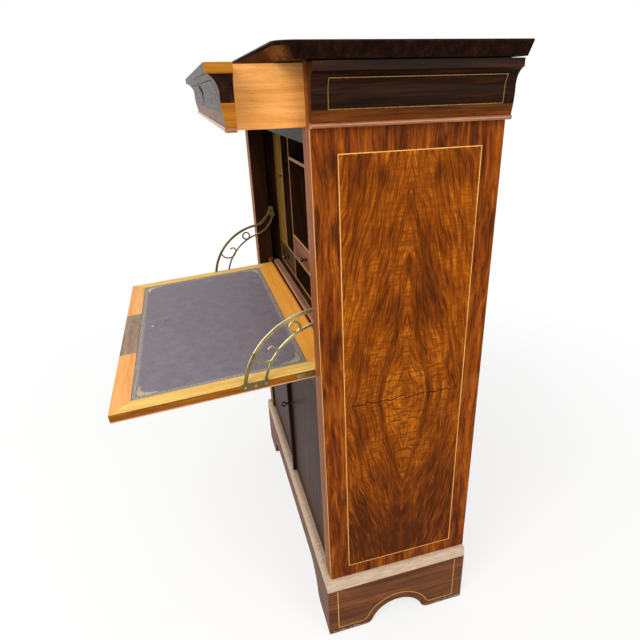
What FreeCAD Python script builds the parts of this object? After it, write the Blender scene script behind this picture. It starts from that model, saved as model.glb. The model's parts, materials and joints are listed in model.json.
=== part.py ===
import FreeCAD, Part
import math
import os

# A drop-front writing cabinet: plinth, two-door cupboard, fall-front desk with a
# fitted inside, and a frieze drawer behind the cornice. Millimetres, +X to the right,
# +Y to the back, +Z up. At rest the fall is open on its stays and the drawer is pulled
# out. The outline points below are measured from the front face of the corner posts.

# Fits and cuts
cut_over = 5.0              # how far a cutting solid runs past the face that it opens
running_fit = 0.05          # radial play of a pin in its bore
let_in_fit = 0.1            # play round a fitting that is let into wood
slide_gap = 0.5             # play between a sliding piece and its neighbour
door_gap = 1.5              # gap round a swinging leaf

# Case
carcass_width = 888.0
carcass_depth = 371.0
carcass_height = 1070.0
side_thickness = 22.0
back_thickness = 10.0
post_width = 50.0
post_depth = 48.0

# Plinth
plinth_height = 158.0
plinth_projection = 13.0
apron_thickness = 20.0
foot_width = 105.0
side_arch_height = 64.0
front_arch_height = 88.0
ogee_run = 92.0             # length of each S-curved end of an arch
ogee_limit_share = 0.94     # most of half an arch that one curve may take
ogee_low_shares = (0.10, 0.07)
ogee_middle_shares = (0.22, 0.30)
ogee_high_shares = (0.52, 0.77)
moulding_height = 30.0
moulding_radius = 12.0
block_size = 40.0
back_apron_lift = 12.0

# Cornice, given as projections from the carcass face
cornice_height = 100.0
bead_height = 8.0
bead_projection = 20.0
foot_projection = 16.0
belly_projection = 22.0
belly_height = 44.0
belly_bow_shares = (0.78, 0.50)
cove_bow_shares = (0.24, 0.62)
lip_projection = 39.0
crown_projection = 42.0
crown_fillet = 14.0
shadow_gap = 2.0            # dark line between the cornice and the top board

# Top board, an undercut edge with a narrow nosing
top_thickness = 24.5
top_under_overhang = 48.0
top_bevel_overhang = 59.0
top_nose_overhang = 62.0
top_bevel_share = 0.70
top_nose_share = 0.88
top_arris = 1.5
top_corner_radius = 32.0

# Cupboard
cupboard_floor_thickness = 20.0
cupboard_shelf_share = 0.472    # top of the shelf in the height of the cupboard
cupboard_shelf_thickness = 16.0
cupboard_shelf_setback = 66.0
cleat_size = 18.0
divider_thickness = 12.0
middle_rail_height = 30.0
fall_rail_gap = 4.0             # between the shut fall's lower edge and the middle rail

# Doors
door_thickness = 20.0
door_setback = 6.0
door_foot_gap = 3.0
door_head_gap = 2.0
door_pin_radius = 3.0
door_pin_grip = 12.0

# Door lock and key, on the right door's meeting edge
lock_height = 56.0
lock_width = 60.0
lock_thickness = 10.0
lock_wall = 1.5
lock_height_share = 0.522       # middle of the lock in the height of the door
door_bolt_length = 42.0
door_bolt_height = 14.0
door_bolt_thickness = 6.0
door_bolt_rise = 16.0           # bolt above the key
door_bolt_throw = 8.0
key_inset = 25.0                # key from the door's meeting edge
key_radius = 2.5
key_stem = 20.0
key_collar_radius = 4.5
key_collar_length = 4.0
key_bow_radius = 8.0
key_bow_hole_radius = 4.4
key_bow_thickness = 3.5
key_bit_reach = 9.0
key_bit_thickness = 2.4
key_bit_width = 5.0
keyhole_radius = 3.4
keyhole_slot = 3.2
keyhole_length = 10.0

# Fall
fall_thickness = 18.5
fall_side_gap = 1.0
fall_setback = 30.75            # closed outer face behind the posts' front
fall_head_gap = 1.5
fall_sag_angle = 3.66           # degrees below level when open on its stays
writing_height = 776.0
border_thickness = 3.0
leather_back_margin = 57.0
leather_front_margin = 40.0
leather_side_margin = 40.0
leather_thickness = 1.2
leather_sink = 0.4
patch_width = 256.0
fall_pin_radius = 3.0
fall_pin_grip = 14.0
pivot_plate_thickness = 3.0
pivot_plate_width = 14.0
pivot_plate_height = 48.0
hinge_leaf_length = 80.0
hinge_leaf_tail = 6.5
hinge_leaf_width = 10.0
hinge_leaf_thickness = 3.0

# Fall lock, in the edge that is at the top when the fall is closed
fall_lock_width = 70.0
fall_lock_depth = 40.0
fall_lock_thickness = 11.0
fall_bolt_width = 30.0
fall_bolt_length = 26.0
fall_bolt_thickness = 6.0
fall_bolt_throw = 8.0
bolt_sink = 0.3

# Brass stays, drawn from the fall's pivot: shares of the reach forward and of the rise
stay_reach = 195.0
stay_rise = 208.0
stay_thickness = 4.0
stay_outer_bar = 7.5
stay_inner_bar = 5.0
stay_scroll_bar = 4.0
stay_ring_radius = 13.5
stay_ring_bar = 4.5
stay_ring_shares = (0.359, 0.553)
stay_outer_shares = ((0.975, 0.03), (0.700, 0.480), (0.123, 0.700))
stay_outer_tail_shares = ((0.123, 0.700), (-0.010, 0.784), (-0.128, 0.966))
stay_inner_shares = ((0.755, 0.03), (0.515, 0.385), (0.120, 0.560))
stay_inner_tail_shares = ((0.120, 0.560), (-0.046, 0.659), (-0.152, 0.952))
stay_scroll_shares = ((0.830, 0.370), (0.728, 0.240), (0.578, 0.335))
stay_curl_shares = ((0.578, 0.335), (0.615, 0.392), (0.668, 0.372))
stay_foot_length = 58.0
stay_foot_front = 198.0         # front end of the foot plate from the pivot
stay_foot_drop = 5.5            # foot plate below the pivot's level
stud_radius = 7.5
stud_length = 13.0
stud_shank_radius = 3.0
stud_head_radius = 4.5
stud_head_height = 2.0
stud_disc_radius = 9.0
stud_rise = 175.0               # stud above the pivot when the fall is open
stop_gap = 0.4                  # stud to the back of the post when open

# Desk inside
desk_floor_rise = 12.0          # top of the desk floor above the writing face
desk_floor_thickness = 12.0
stay_slot = 9.0                 # from the post's inner face to the fitment
bearer_thickness = 12.0
fitment_setback = 78.0
fitment_board = 8.0
fitment_side_thickness = 10.0
fitment_top_thickness = 8.0
niche_width = 103.0
centre_bay_width = 302.0
lower_row_height = 63.0
centre_drawer_height = 56.0
pigeonhole_share = 0.724        # of the middle bay's height above its drawer
inner_leaf_thickness = 10.0
inner_pin_radius = 1.5
inner_pin_grip = 8.0
inner_gap = 1.0

# Inner drawers
tray_back_gap = 1.0         # a shut drawer to the back panel, which stops it
tray_front = 10.0
tray_wall = 6.0
tray_bottom = 5.0
tray_rim_drop = 8.0
knob_length = 17.0
knob_radius = 7.0
knob_shares = (             # outline of a turned knob: shares of its radius and length
    (0, 0), (0.78, 0), (0.78, 0.15), (0.46, 0.32), (0.46, 0.45),
    (0.82, 0.58), (1, 0.75), (0.82, 0.92), (0.40, 1), (0, 1),
)
door_knob_inset = 12.0
door_knob_share = 0.60          # height of the small doors' knobs
door_knob_length = 9.0
door_knob_radius = 4.5

# Frieze drawer
upper_rail_height = 28.0
dust_board_thickness = 12.0
drawer_pull = 119.0             # how far the drawer stands out at rest
drawer_length = 330.0
drawer_side_thickness = 12.0
drawer_side_gap = 2.0           # between the drawer and the case's sides, which guide it
drawer_back_thickness = 10.0
drawer_bottom_thickness = 7.0
drawer_bottom_lift = 8.0
drawer_back_drop = 10.0
drawer_head_gap = 2.0
drawer_lock_width = 60.0
drawer_lock_height = 52.0
drawer_lock_thickness = 12.0
drawer_bolt_width = 24.0
drawer_bolt_height = 30.0
drawer_bolt_thickness = 6.0
drawer_bolt_throw = 8.0
drawer_keyhole_width = 4.0
drawer_keyhole_height = 22.0
drawer_keyhole_rise = 36.0      # bottom of the keyhole above the bead

# Levels and planes that follow from the sizes
half_width = carcass_width / 2
opening_half = half_width - post_width
cavity_half = half_width - side_thickness
back_y = carcass_depth - back_thickness
case_z = plinth_height + moulding_height
frieze_z = case_z + carcass_height
top_z = frieze_z + cornice_height
total_z = top_z + top_thickness
upper_rail_z = frieze_z - upper_rail_height
middle_rail_top = writing_height - fall_thickness - fall_rail_gap
middle_rail_z = middle_rail_top - middle_rail_height
cupboard_top_z = middle_rail_z - divider_thickness
shelf_top_z = case_z + (cupboard_top_z - case_z) * cupboard_shelf_share

fall_half_width = opening_half - fall_side_gap
fall_radius = fall_thickness / 2
pivot_y = fall_setback + fall_radius
pivot_z = writing_height - fall_radius
fall_reach = upper_rail_z - fall_head_gap - pivot_z

desk_floor_z = writing_height + desk_floor_rise
desk_front_y = max(post_depth, pivot_y + fall_radius) + slide_gap
desk_half = opening_half - stay_slot
fitment_half = desk_half - fitment_side_thickness
fitment_top_z = upper_rail_z - fitment_top_thickness
lower_row_z = desk_floor_z + fitment_board
common_shelf_z = lower_row_z + lower_row_height
upper_row_z = common_shelf_z + fitment_board
centre_shelf_z = upper_row_z + centre_drawer_height
centre_bay_z = centre_shelf_z + fitment_board
pigeonhole_z = centre_bay_z + (fitment_top_z - centre_bay_z) * pigeonhole_share
centre_half = centre_bay_width / 2
niche_half = centre_half + fitment_board + niche_width

door_y = door_setback + door_thickness / 2
door_pivot_x = opening_half - door_gap - door_thickness / 2
door_z = case_z + door_foot_gap
door_top_z = middle_rail_z - door_head_gap
lock_z = door_z + (door_top_z - door_z) * lock_height_share

# The shared frame has its origin under the middle of the part as it stands at rest.
sag = math.radians(fall_sag_angle)
fall_front_y = pivot_y - fall_reach * math.cos(sag) - fall_radius * math.sin(sag)
frame_y = -(fall_front_y + carcass_depth) / 2
sides = (-1, 1)
vec = FreeCAD.Vector


# Basic shapes

def box(x_span, y_span, z_span):
    low = vec(min(x_span), min(y_span), min(z_span))
    high = vec(max(x_span), max(y_span), max(z_span))
    size = high - low
    return Part.makeBox(size.x, size.y, size.z, low)


def wide(half):
    return (-half, half)


def to_side(side, near, far):
    return (side * near, side * far)


def prism(points, along):
    # An outline swept along a straight line. A pair of points is an arc: through, end.
    edges = []
    here = points[0]
    for step in points[1:] + [points[0]]:
        if isinstance(step, tuple):
            edges.append(Part.Arc(here, step[0], step[1]).toShape())
            here = step[1]
        else:
            edges.append(Part.LineSegment(here, step).toShape())
            here = step
    return Part.Face(Part.Wire(edges)).extrude(along)


def rod(start, end, radius):
    run = end - start
    return Part.makeCylinder(radius, run.Length, start, run)


def turned(points, centre, axis):
    # An outline turned about an axis; its points are (radius, distance along the axis).
    side_way = vec(0, 0, 1)
    spots = [centre + side_way * radius + axis * run for radius, run in points]
    edges = [Part.LineSegment(a, b).toShape() for a, b in zip(spots, spots[1:] + spots[:1])]
    face = Part.Face(Part.Wire(edges))
    return face.revolve(centre, axis, 360)


def mix(low, high, share):
    return low + (high - low) * share


def group(shapes):
    return Part.makeCompound(shapes)


def front_plan(inner, outer):
    # Plan of a front piece that is mitred at the corners of the carcass.
    z = -cut_over
    points = [
        vec(-half_width + inner, inner, z),
        vec(half_width - inner, inner, z),
        vec(half_width + outer, -outer, z),
        vec(-half_width - outer, -outer, z),
    ]
    return prism(points, vec(0, 0, total_z + 2 * cut_over))


def side_plan(side, inner, outer):
    z = -cut_over
    points = [
        vec(side * (half_width - inner), inner, z),
        vec(side * (half_width + outer), -outer, z),
        vec(side * (half_width + outer), carcass_depth, z),
        vec(side * (half_width - inner), carcass_depth, z),
    ]
    return prism(points, vec(0, 0, total_z + 2 * cut_over))


def front_moulding(profile, inner, outer):
    # profile(place) gives the outline; place(projection, height) puts a point of it.
    def place(projection, height):
        return vec(-half_width - outer, -projection, height)
    run = vec(2 * (half_width + outer), 0, 0)
    return prism(profile(place), run).common(front_plan(inner, outer))


def side_moulding(profile, side, inner, outer):
    def place(projection, height):
        return vec(side * (half_width + projection), -outer, height)
    run = vec(0, carcass_depth + outer, 0)
    return prism(profile(place), run).common(side_plan(side, inner, outer))


def ahead_of_posts():
    # The room that the drawer front fills when it is shut, corners included.
    reach = crown_projection + cut_over
    return box(wide(half_width + reach), (-reach, 0), (frieze_z - cut_over, total_z))


def square_side(profile, side):
    # A side moulding that ends square, level with the front of the posts.
    return side_moulding(profile, side, 0, crown_projection).cut(ahead_of_posts())


def returned_front(profile):
    # A front moulding that turns both corners, up to the square ends of the sides.
    reach = crown_projection
    returns = [side_moulding(profile, side, 0, reach).common(ahead_of_posts()) for side in sides]
    return front_moulding(profile, 0, reach).multiFuse(returns).removeSplitter()


# Plinth

def arch_outline(half_span, height, place):
    # From the floor up an S-curve to a level crown and down again. A short arch keeps a
    # narrow level part between its two curves.
    def spot(side, shares):
        return place(side * (half_span - ogee * shares[0]), height * shares[1])
    ogee = min(ogee_run, half_span * ogee_limit_share)
    crown = (1, 1)
    return [
        place(-half_span, -cut_over),
        place(-half_span, 0),
        (spot(-1, ogee_low_shares), spot(-1, ogee_middle_shares)),
        (spot(-1, ogee_high_shares), spot(-1, crown)),
        spot(1, crown),
        (spot(1, ogee_high_shares), spot(1, ogee_middle_shares)),
        (spot(1, ogee_low_shares), place(half_span, 0)),
        place(half_span, -cut_over),
    ]


def plinth():
    outer = plinth_projection
    inner = apron_thickness - plinth_projection
    height = (0, plinth_height)
    front_half = half_width + outer

    def on_front(x, z):
        return vec(x, -outer - cut_over, z)
    through = apron_thickness + 2 * cut_over
    arch = prism(arch_outline(front_half - foot_width, front_arch_height, on_front), vec(0, through, 0))
    front = box(wide(front_half), (-outer, inner), height).common(front_plan(inner, outer)).cut(arch)

    side_middle = (carcass_depth - outer) / 2
    side_half = (carcass_depth + outer) / 2 - foot_width
    side_aprons = []
    blocks = []
    for side in sides:
        def on_side(y, z):
            return vec(side * (half_width + outer + cut_over), side_middle + y, z)
        arch = prism(arch_outline(side_half, side_arch_height, on_side), vec(-side * through, 0, 0))
        board = box(to_side(side, half_width - inner, half_width + outer), (-outer, carcass_depth), height)
        side_aprons.append(board.common(side_plan(side, inner, outer)).cut(arch))
        block_x = to_side(side, half_width - inner - block_size, half_width - inner)
        block_height = (0, case_z - cupboard_floor_thickness)
        blocks.append(box(block_x, (inner, inner + block_size), block_height))
        back_block = (carcass_depth - apron_thickness - block_size, carcass_depth - apron_thickness)
        blocks.append(box(block_x, back_block, block_height))

    back_height = (back_apron_lift, case_z - cupboard_floor_thickness)
    back = box(wide(half_width - inner), (carcass_depth - apron_thickness, carcass_depth), back_height)

    def moulding_profile(place):
        inside = -inner
        middle = moulding_radius * (1 - math.sqrt(0.5))
        return [
            place(inside, plinth_height),
            place(outer, plinth_height),
            place(outer, case_z - moulding_radius),
            (place(outer - middle, case_z - middle), place(outer - moulding_radius, case_z)),
            place(inside, case_z),
        ]
    moulding = [front_moulding(moulding_profile, inner, outer)]
    moulding += [side_moulding(moulding_profile, side, inner, outer) for side in sides]
    return {
        "plinth_front": front,
        "plinth_sides": group(side_aprons),
        "plinth_back": back,
        "plinth_moulding": group(moulding),
        "plinth_blocks": group(blocks),
    }


# Case

def pivot_plate_box(side, grow):
    x_span = to_side(side, opening_half, opening_half + pivot_plate_thickness + grow)
    y_span = (pivot_y - pivot_plate_width / 2 - grow, pivot_y + pivot_plate_width / 2 + grow)
    z_span = (pivot_z - pivot_plate_height / 2 - grow, pivot_z + pivot_plate_height / 2 + grow)
    return box(x_span, y_span, z_span)


def door_pins(grow):
    # Two upright pins for each door, into the cupboard floor and into the middle rail.
    pins = []
    for side in sides:
        for low, high in (
            (case_z - door_pin_grip, door_z + door_pin_grip),
            (door_top_z - door_pin_grip, middle_rail_z + door_pin_grip),
        ):
            foot = vec(side * door_pivot_x, door_y, low)
            head = vec(side * door_pivot_x, door_y, high)
            pins.append(rod(foot, head, door_pin_radius + grow))
    return group(pins)


def inner_hinge_x():
    return fitment_half - inner_gap - inner_leaf_thickness / 2


def inner_hinge_y():
    return fitment_setback + inner_leaf_thickness / 2


def inner_pins(grow):
    pins = []
    for side in sides:
        for middle in (upper_row_z, fitment_top_z):
            foot = vec(side * inner_hinge_x(), inner_hinge_y(), middle - inner_pin_grip + inner_gap)
            head = vec(side * inner_hinge_x(), inner_hinge_y(), middle + inner_pin_grip - inner_gap)
            pins.append(rod(foot, head, inner_pin_radius + grow))
    return group(pins)


def fall_bolt_mortise():
    y_span = (pivot_y - fall_bolt_thickness / 2 - slide_gap, pivot_y + fall_bolt_thickness / 2 + slide_gap)
    z_span = (upper_rail_z - cut_over, upper_rail_z + fall_bolt_throw + slide_gap)
    return box(wide(fall_bolt_width / 2 + slide_gap), y_span, z_span)


def drawer_bolt_mortise():
    y_span = (drawer_lock_y() - slide_gap, drawer_lock_y() + drawer_bolt_thickness + slide_gap)
    z_span = (top_z - cut_over, top_z + drawer_bolt_throw)
    return box(wide(drawer_bolt_width / 2 + slide_gap), y_span, z_span)


def drawer_lock_y():
    return (drawer_lock_thickness - drawer_bolt_thickness) / 2 - slide_gap


def case():
    nodes = {}
    pivots = []
    for side, word in zip(sides, ("left", "right")):
        post = box(to_side(side, opening_half, half_width), (0, post_depth), (case_z, frieze_z))
        nodes[word + "_post"] = post.cut(pivot_plate_box(side, let_in_fit))
        panel_x = to_side(side, cavity_half, half_width)
        panel = box(panel_x, (post_depth, carcass_depth), (case_z, top_z))
        over_post = box(panel_x, (0, post_depth), (frieze_z, top_z))
        nodes[word + "_side_panel"] = panel.fuse(over_post).removeSplitter()
        pin_end = vec(side * (fall_half_width - fall_pin_grip), pivot_y, pivot_z)
        pin_start = vec(side * (opening_half + pivot_plate_thickness / 2), pivot_y, pivot_z)
        pivots.append(pivot_plate_box(side, 0).fuse(rod(pin_start, pin_end, fall_pin_radius)).removeSplitter())

    nodes["back_panel"] = box(wide(cavity_half), (back_y, carcass_depth), (case_z, top_z))
    floor_half = half_width + plinth_projection - apron_thickness
    floor_y = (apron_thickness - plinth_projection, carcass_depth)
    floor_z = (case_z - cupboard_floor_thickness, case_z)
    nodes["cupboard_floor"] = box(wide(floor_half), floor_y, floor_z).cut(door_pins(0))

    shelf_z = (shelf_top_z - cupboard_shelf_thickness, shelf_top_z)
    nodes["cupboard_shelf"] = box(wide(cavity_half), (cupboard_shelf_setback, back_y), shelf_z)
    bearers = []
    for side in sides:
        cleat_x = to_side(side, cavity_half - cleat_size, cavity_half)
        cleat_z = (shelf_z[0] - cleat_size, shelf_z[0])
        bearers.append(box(cleat_x, (cupboard_shelf_setback, back_y), cleat_z))
        bearer_x = to_side(side, desk_half - bearer_thickness, desk_half)
        bearer_z = (middle_rail_z, desk_floor_z - desk_floor_thickness)
        bearers.append(box(bearer_x, (fitment_setback, back_y), bearer_z))
    nodes["shelf_bearers"] = group(bearers)

    divider_z = (cupboard_top_z, middle_rail_z)
    door_stop_y = door_setback + door_thickness + slide_gap
    divider = box(wide(cavity_half), (post_depth, back_y), divider_z)
    divider_front = box(wide(opening_half), (door_stop_y, post_depth), divider_z)
    nodes["dividing_board"] = divider.fuse(divider_front).removeSplitter()
    rail_z = (middle_rail_z, middle_rail_top)
    nodes["middle_rail"] = box(wide(opening_half), (0, post_depth), rail_z).cut(door_pins(0))
    rail_z = (upper_rail_z, frieze_z)
    nodes["upper_rail"] = box(wide(opening_half), (0, post_depth), rail_z).cut(fall_bolt_mortise())
    dust_z = (frieze_z - dust_board_thickness, frieze_z)
    nodes["dust_board"] = box(wide(cavity_half), (post_depth, back_y), dust_z)
    nodes["pivot_pins"] = group(pivots + door_pins(0).Solids + inner_pins(0).Solids)
    return nodes


# Cornice and top

def cornice_profile(place):
    low = frieze_z + bead_height
    high = top_z - shadow_gap
    crown_z = high - crown_fillet
    belly_z = low + belly_height
    bow = (
        mix(foot_projection, belly_projection, belly_bow_shares[0]),
        mix(low, belly_z, belly_bow_shares[1]),
    )
    cove = (
        mix(belly_projection, lip_projection, cove_bow_shares[0]),
        mix(belly_z, crown_z, cove_bow_shares[1]),
    )
    return [
        place(0, low),
        place(foot_projection, low),
        (place(*bow), place(belly_projection, belly_z)),
        (place(*cove), place(lip_projection, crown_z)),
        place(crown_projection, crown_z),
        place(crown_projection, high),
        place(0, high),
    ]


def bead_profile(place):
    low = frieze_z
    high = frieze_z + bead_height
    radius = bead_height / 2
    flat = bead_projection - radius
    return [
        place(0, low),
        place(flat, low),
        (place(bead_projection, low + radius), place(flat, high)),
        place(0, high),
    ]


def top_wire(z, overhang):
    # Rounded at the two front corners and square at the back.
    x = half_width + overhang
    front = -overhang
    radius = top_corner_radius
    tuck = radius * (1 - math.sqrt(0.5))
    back_left = vec(-x, carcass_depth, z)
    back_right = vec(x, carcass_depth, z)
    right = vec(x, front + radius, z)
    front_right = vec(x - radius, front, z)
    front_left = vec(-x + radius, front, z)
    left = vec(-x, front + radius, z)
    return Part.Wire([
        Part.LineSegment(back_left, back_right).toShape(),
        Part.LineSegment(back_right, right).toShape(),
        Part.Arc(right, vec(x - tuck, front + tuck, z), front_right).toShape(),
        Part.LineSegment(front_right, front_left).toShape(),
        Part.Arc(front_left, vec(-x + tuck, front + tuck, z), left).toShape(),
        Part.LineSegment(left, back_left).toShape(),
    ])


def cornice_and_top():
    sections = [
        top_wire(top_z, top_under_overhang),
        top_wire(mix(top_z, total_z, top_bevel_share), top_bevel_overhang),
        top_wire(mix(top_z, total_z, top_nose_share), top_nose_overhang),
        top_wire(total_z - top_arris, top_nose_overhang),
        top_wire(total_z, top_nose_overhang - top_arris),
    ]
    slabs = [Part.makeLoft(list(pair), True, True) for pair in zip(sections, sections[1:])]
    top = slabs[0].multiFuse(slabs[1:]).removeSplitter().cut(drawer_bolt_mortise())
    return {
        "top_board": top,
        "side_cornices": group([square_side(cornice_profile, side) for side in sides]),
        "cornice_beads": group([square_side(bead_profile, side) for side in sides]),
    }


# Fall, drawn level with its writing face up and then turned down by the sag

def fall_spot(x, forward, rise):
    return vec(x, pivot_y - forward, pivot_z + rise)


def fall_box(x_span, forward_span, rise_span):
    y_span = [pivot_y - forward for forward in forward_span]
    z_span = [pivot_z + rise for rise in rise_span]
    return box(x_span, y_span, z_span)


def sagged(shape):
    placed = shape.copy()
    placed.rotate(vec(0, pivot_y, pivot_z), vec(1, 0, 0), fall_sag_angle)
    return placed


def fall_slab():
    x = -fall_half_width
    points = [
        fall_spot(x, fall_reach, -fall_radius),
        fall_spot(x, 0, -fall_radius),
        (fall_spot(x, -fall_radius, 0), fall_spot(x, 0, fall_radius)),
        fall_spot(x, fall_reach, fall_radius),
    ]
    return prism(points, vec(2 * fall_half_width, 0, 0))


def stay_foot_box(side, grow):
    x_span = to_side(side, fall_half_width - stay_thickness - grow, fall_half_width)
    forward_span = (stay_foot_front - stay_foot_length - grow, stay_foot_front + grow)
    return fall_box(x_span, forward_span, (-stay_foot_drop - grow, fall_radius))


def hinge_leaf(side, grow):
    x_span = to_side(side, fall_half_width - hinge_leaf_thickness - grow, fall_half_width)
    half = hinge_leaf_width / 2 + grow
    return fall_box(x_span, (-hinge_leaf_tail - grow, hinge_leaf_length + grow), (-half, half))


def pin_hole(side, radius):
    start = fall_spot(side * (fall_half_width + cut_over), 0, 0)
    end = fall_spot(side * (fall_half_width - fall_pin_grip - slide_gap), 0, 0)
    return rod(start, end, radius)


def fall_lock_box(grow):
    half = fall_lock_thickness / 2 + grow
    forward_span = (fall_reach - fall_lock_depth - grow, fall_reach)
    return fall_box(wide(fall_lock_width / 2 + grow), forward_span, (-half, half))


def fall_bolt_box(grow):
    half = fall_bolt_thickness / 2 + grow
    forward_span = (fall_reach - bolt_sink - fall_bolt_length - grow, fall_reach - bolt_sink)
    return fall_box(wide(fall_bolt_width / 2 + grow), forward_span, (-half, half))


def border_plans():
    # Four mitred border strips round the leather, as plan outlines from above.
    x = fall_half_width
    back = -fall_radius
    front = fall_reach
    inner_x = x - leather_side_margin
    inner_back = back + leather_back_margin
    inner_front = front - leather_front_margin
    corners = [(-x, back), (x, back), (x, front), (-x, front)]
    inside = [(-inner_x, inner_back), (inner_x, inner_back), (inner_x, inner_front), (-inner_x, inner_front)]
    strips = []
    for start in range(len(corners)):
        end = (start + 1) % len(corners)
        loop = [corners[start], corners[end], inside[end], inside[start]]
        strips.append(prism([fall_spot(a, b, 0) for a, b in loop], vec(0, 0, fall_thickness)))
    return strips


def fall():
    slab = fall_slab()
    field_x = wide(fall_half_width - leather_side_margin)
    field_forward = (leather_back_margin - fall_radius, fall_reach - leather_front_margin)
    bed = fall_radius - leather_sink - leather_thickness
    over = fall_radius + cut_over
    layer = fall_radius - border_thickness
    whole_x = wide(fall_half_width + cut_over)
    whole_forward = (-fall_radius - cut_over, fall_reach + cut_over)
    field = fall_box(field_x, field_forward, (-fall_radius, over))
    rim = fall_box(whole_x, whole_forward, (layer, over)).cut(field)
    fittings = [fall_lock_box(let_in_fit)]
    leaves = []
    for side in sides:
        fittings += [stay_foot_box(side, let_in_fit), hinge_leaf(side, let_in_fit)]
        fittings.append(pin_hole(side, fall_pin_radius + let_in_fit))
        leaves.append(hinge_leaf(side, 0).cut(pin_hole(side, fall_pin_radius + running_fit)))
    fittings = group(fittings)

    board = slab.cut(rim).cut(fall_box(field_x, field_forward, (bed, over))).cut(fittings)
    strips = [slab.common(rim).common(plan).cut(fittings) for plan in border_plans()]
    patch_box = fall_box(wide(patch_width / 2), (fall_reach - leather_front_margin, fall_reach), (layer, fall_radius))
    strips[2] = strips[2].cut(patch_box)
    leather = fall_box(field_x, field_forward, (bed, bed + leather_thickness))
    lock = fall_lock_box(0).cut(fall_bolt_box(slide_gap)).cut(bolt_mouth())
    nodes = {
        "fall_board": board,
        "fall_borders": group([solid for strip in strips for solid in strip.Solids]),
        "fall_lock_patch": patch_box,
        "writing_leather": leather,
        "fall_hinge_leaves": group(leaves),
        "fall_lock": lock,
        "fall_bolt": fall_bolt_box(0),
        "left_stay": stay(-1),
        "right_stay": stay(1),
        "stay_studs": group([stay_stud(side) for side in sides]),
    }
    return {name: sagged(shape) for name, shape in nodes.items()}


def bolt_mouth():
    half = fall_bolt_thickness / 2 + slide_gap
    forward_span = (fall_reach - fall_bolt_length, fall_reach + cut_over)
    return fall_box(wide(fall_bolt_width / 2 + slide_gap), forward_span, (-half, half))


# Stays

def stay_spot(shares):
    return (stay_reach * shares[0], stay_rise * shares[1])


def circle_through(a, b, c):
    # Centre of the circle through three points in the stay's plane.
    d = 2 * (a[0] * (b[1] - c[1]) + b[0] * (c[1] - a[1]) + c[0] * (a[1] - b[1]))
    squares = [p[0] ** 2 + p[1] ** 2 for p in (a, b, c)]
    forward = squares[0] * (b[1] - c[1]) + squares[1] * (c[1] - a[1]) + squares[2] * (a[1] - b[1])
    rise = squares[0] * (c[0] - b[0]) + squares[1] * (a[0] - c[0]) + squares[2] * (b[0] - a[0])
    return (forward / d, rise / d)


def stay_bar_solid(shares, width, x, along):
    spots = [stay_spot(pair) for pair in shares]
    centre = circle_through(*spots)

    def offset(spot, amount):
        arm = (spot[0] - centre[0], spot[1] - centre[1])
        length = math.hypot(*arm)
        return fall_spot(x, spot[0] + arm[0] / length * amount, spot[1] + arm[1] / length * amount)
    out = [offset(spot, width / 2) for spot in spots]
    back = [offset(spot, -width / 2) for spot in spots]
    return prism([out[0], (out[1], out[2]), back[2], (back[1], back[0])], along)


def stud_spot():
    # Where the stud lies on the level fall, so that it meets the post when the fall sags.
    forward = pivot_y - post_depth - stop_gap - stud_radius
    level_forward = forward * math.cos(sag) - stud_rise * math.sin(sag)
    level_rise = forward * math.sin(sag) + stud_rise * math.cos(sag)
    return (level_forward, level_rise)


def stay(side):
    x = side * (fall_half_width - stay_thickness)
    along = vec(side * stay_thickness, 0, 0)
    ring_middle = fall_spot(x, *stay_spot(stay_ring_shares))
    stud_middle = fall_spot(x, *stud_spot())
    pieces = []
    for width, lines in (
        (stay_outer_bar, (stay_outer_shares, stay_outer_tail_shares)),
        (stay_inner_bar, (stay_inner_shares, stay_inner_tail_shares)),
        (stay_scroll_bar, (stay_scroll_shares, stay_curl_shares)),
    ):
        pieces += [stay_bar_solid(shares, width, x, along) for shares in lines]
    pieces.append(rod(ring_middle, ring_middle + along, stay_ring_radius))
    pieces.append(rod(stud_middle, stud_middle + along, stud_disc_radius))
    plate = stay_foot_box(side, 0).multiFuse(pieces).removeSplitter()
    holes = group([
        rod(ring_middle - along, ring_middle + along * 2, stay_ring_radius - stay_ring_bar),
        rod(stud_middle - along, stud_middle + along * 2, stud_shank_radius + running_fit),
    ])
    return plate.cut(holes)


def stay_stud(side):
    out = vec(side, 0, 0)
    face = fall_spot(side * fall_half_width, *stud_spot())
    inner_face = face - out * stay_thickness
    head_end = inner_face - out * stud_head_height
    stop = rod(face, face + out * stud_length, stud_radius)
    shank = rod(head_end, face, stud_shank_radius)
    head = rod(inner_face, head_end, stud_head_radius)
    return stop.multiFuse([shank, head]).removeSplitter()


# Desk inside

def fitment():
    depth = (fitment_setback, back_y)
    floor_z = (desk_floor_z - desk_floor_thickness, desk_floor_z)
    desk_floor = box(wide(desk_half), (desk_front_y, back_y), floor_z)
    side_boards = []
    partitions = []
    for side in sides:
        side_x = to_side(side, fitment_half, desk_half)
        side_boards.append(box(side_x, depth, (desk_floor_z, fitment_top_z)))
        centre_x = to_side(side, centre_half, centre_half + fitment_board)
        niche_x = to_side(side, niche_half, niche_half + fitment_board)
        partitions.append(box(centre_x, depth, (lower_row_z, common_shelf_z)))
        partitions.append(box(centre_x, depth, (upper_row_z, fitment_top_z)))
        partitions.append(box(niche_x, depth, (upper_row_z, fitment_top_z)))
    top = box(wide(desk_half), depth, (fitment_top_z, upper_rail_z)).cut(inner_pins(0))
    shelves = [
        box(wide(fitment_half), depth, (desk_floor_z, lower_row_z)),
        box(wide(fitment_half), depth, (common_shelf_z, upper_row_z)).cut(inner_pins(0)),
        box(wide(centre_half), depth, (centre_shelf_z, centre_shelf_z + fitment_board)),
        box(wide(centre_half), depth, (pigeonhole_z, pigeonhole_z + fitment_board)),
    ]
    return {
        "desk_floor": desk_floor,
        "fitment_case": group(side_boards + [top]),
        "fitment_partitions": group(partitions),
        "fitment_shelves": group(shelves),
    }


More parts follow.
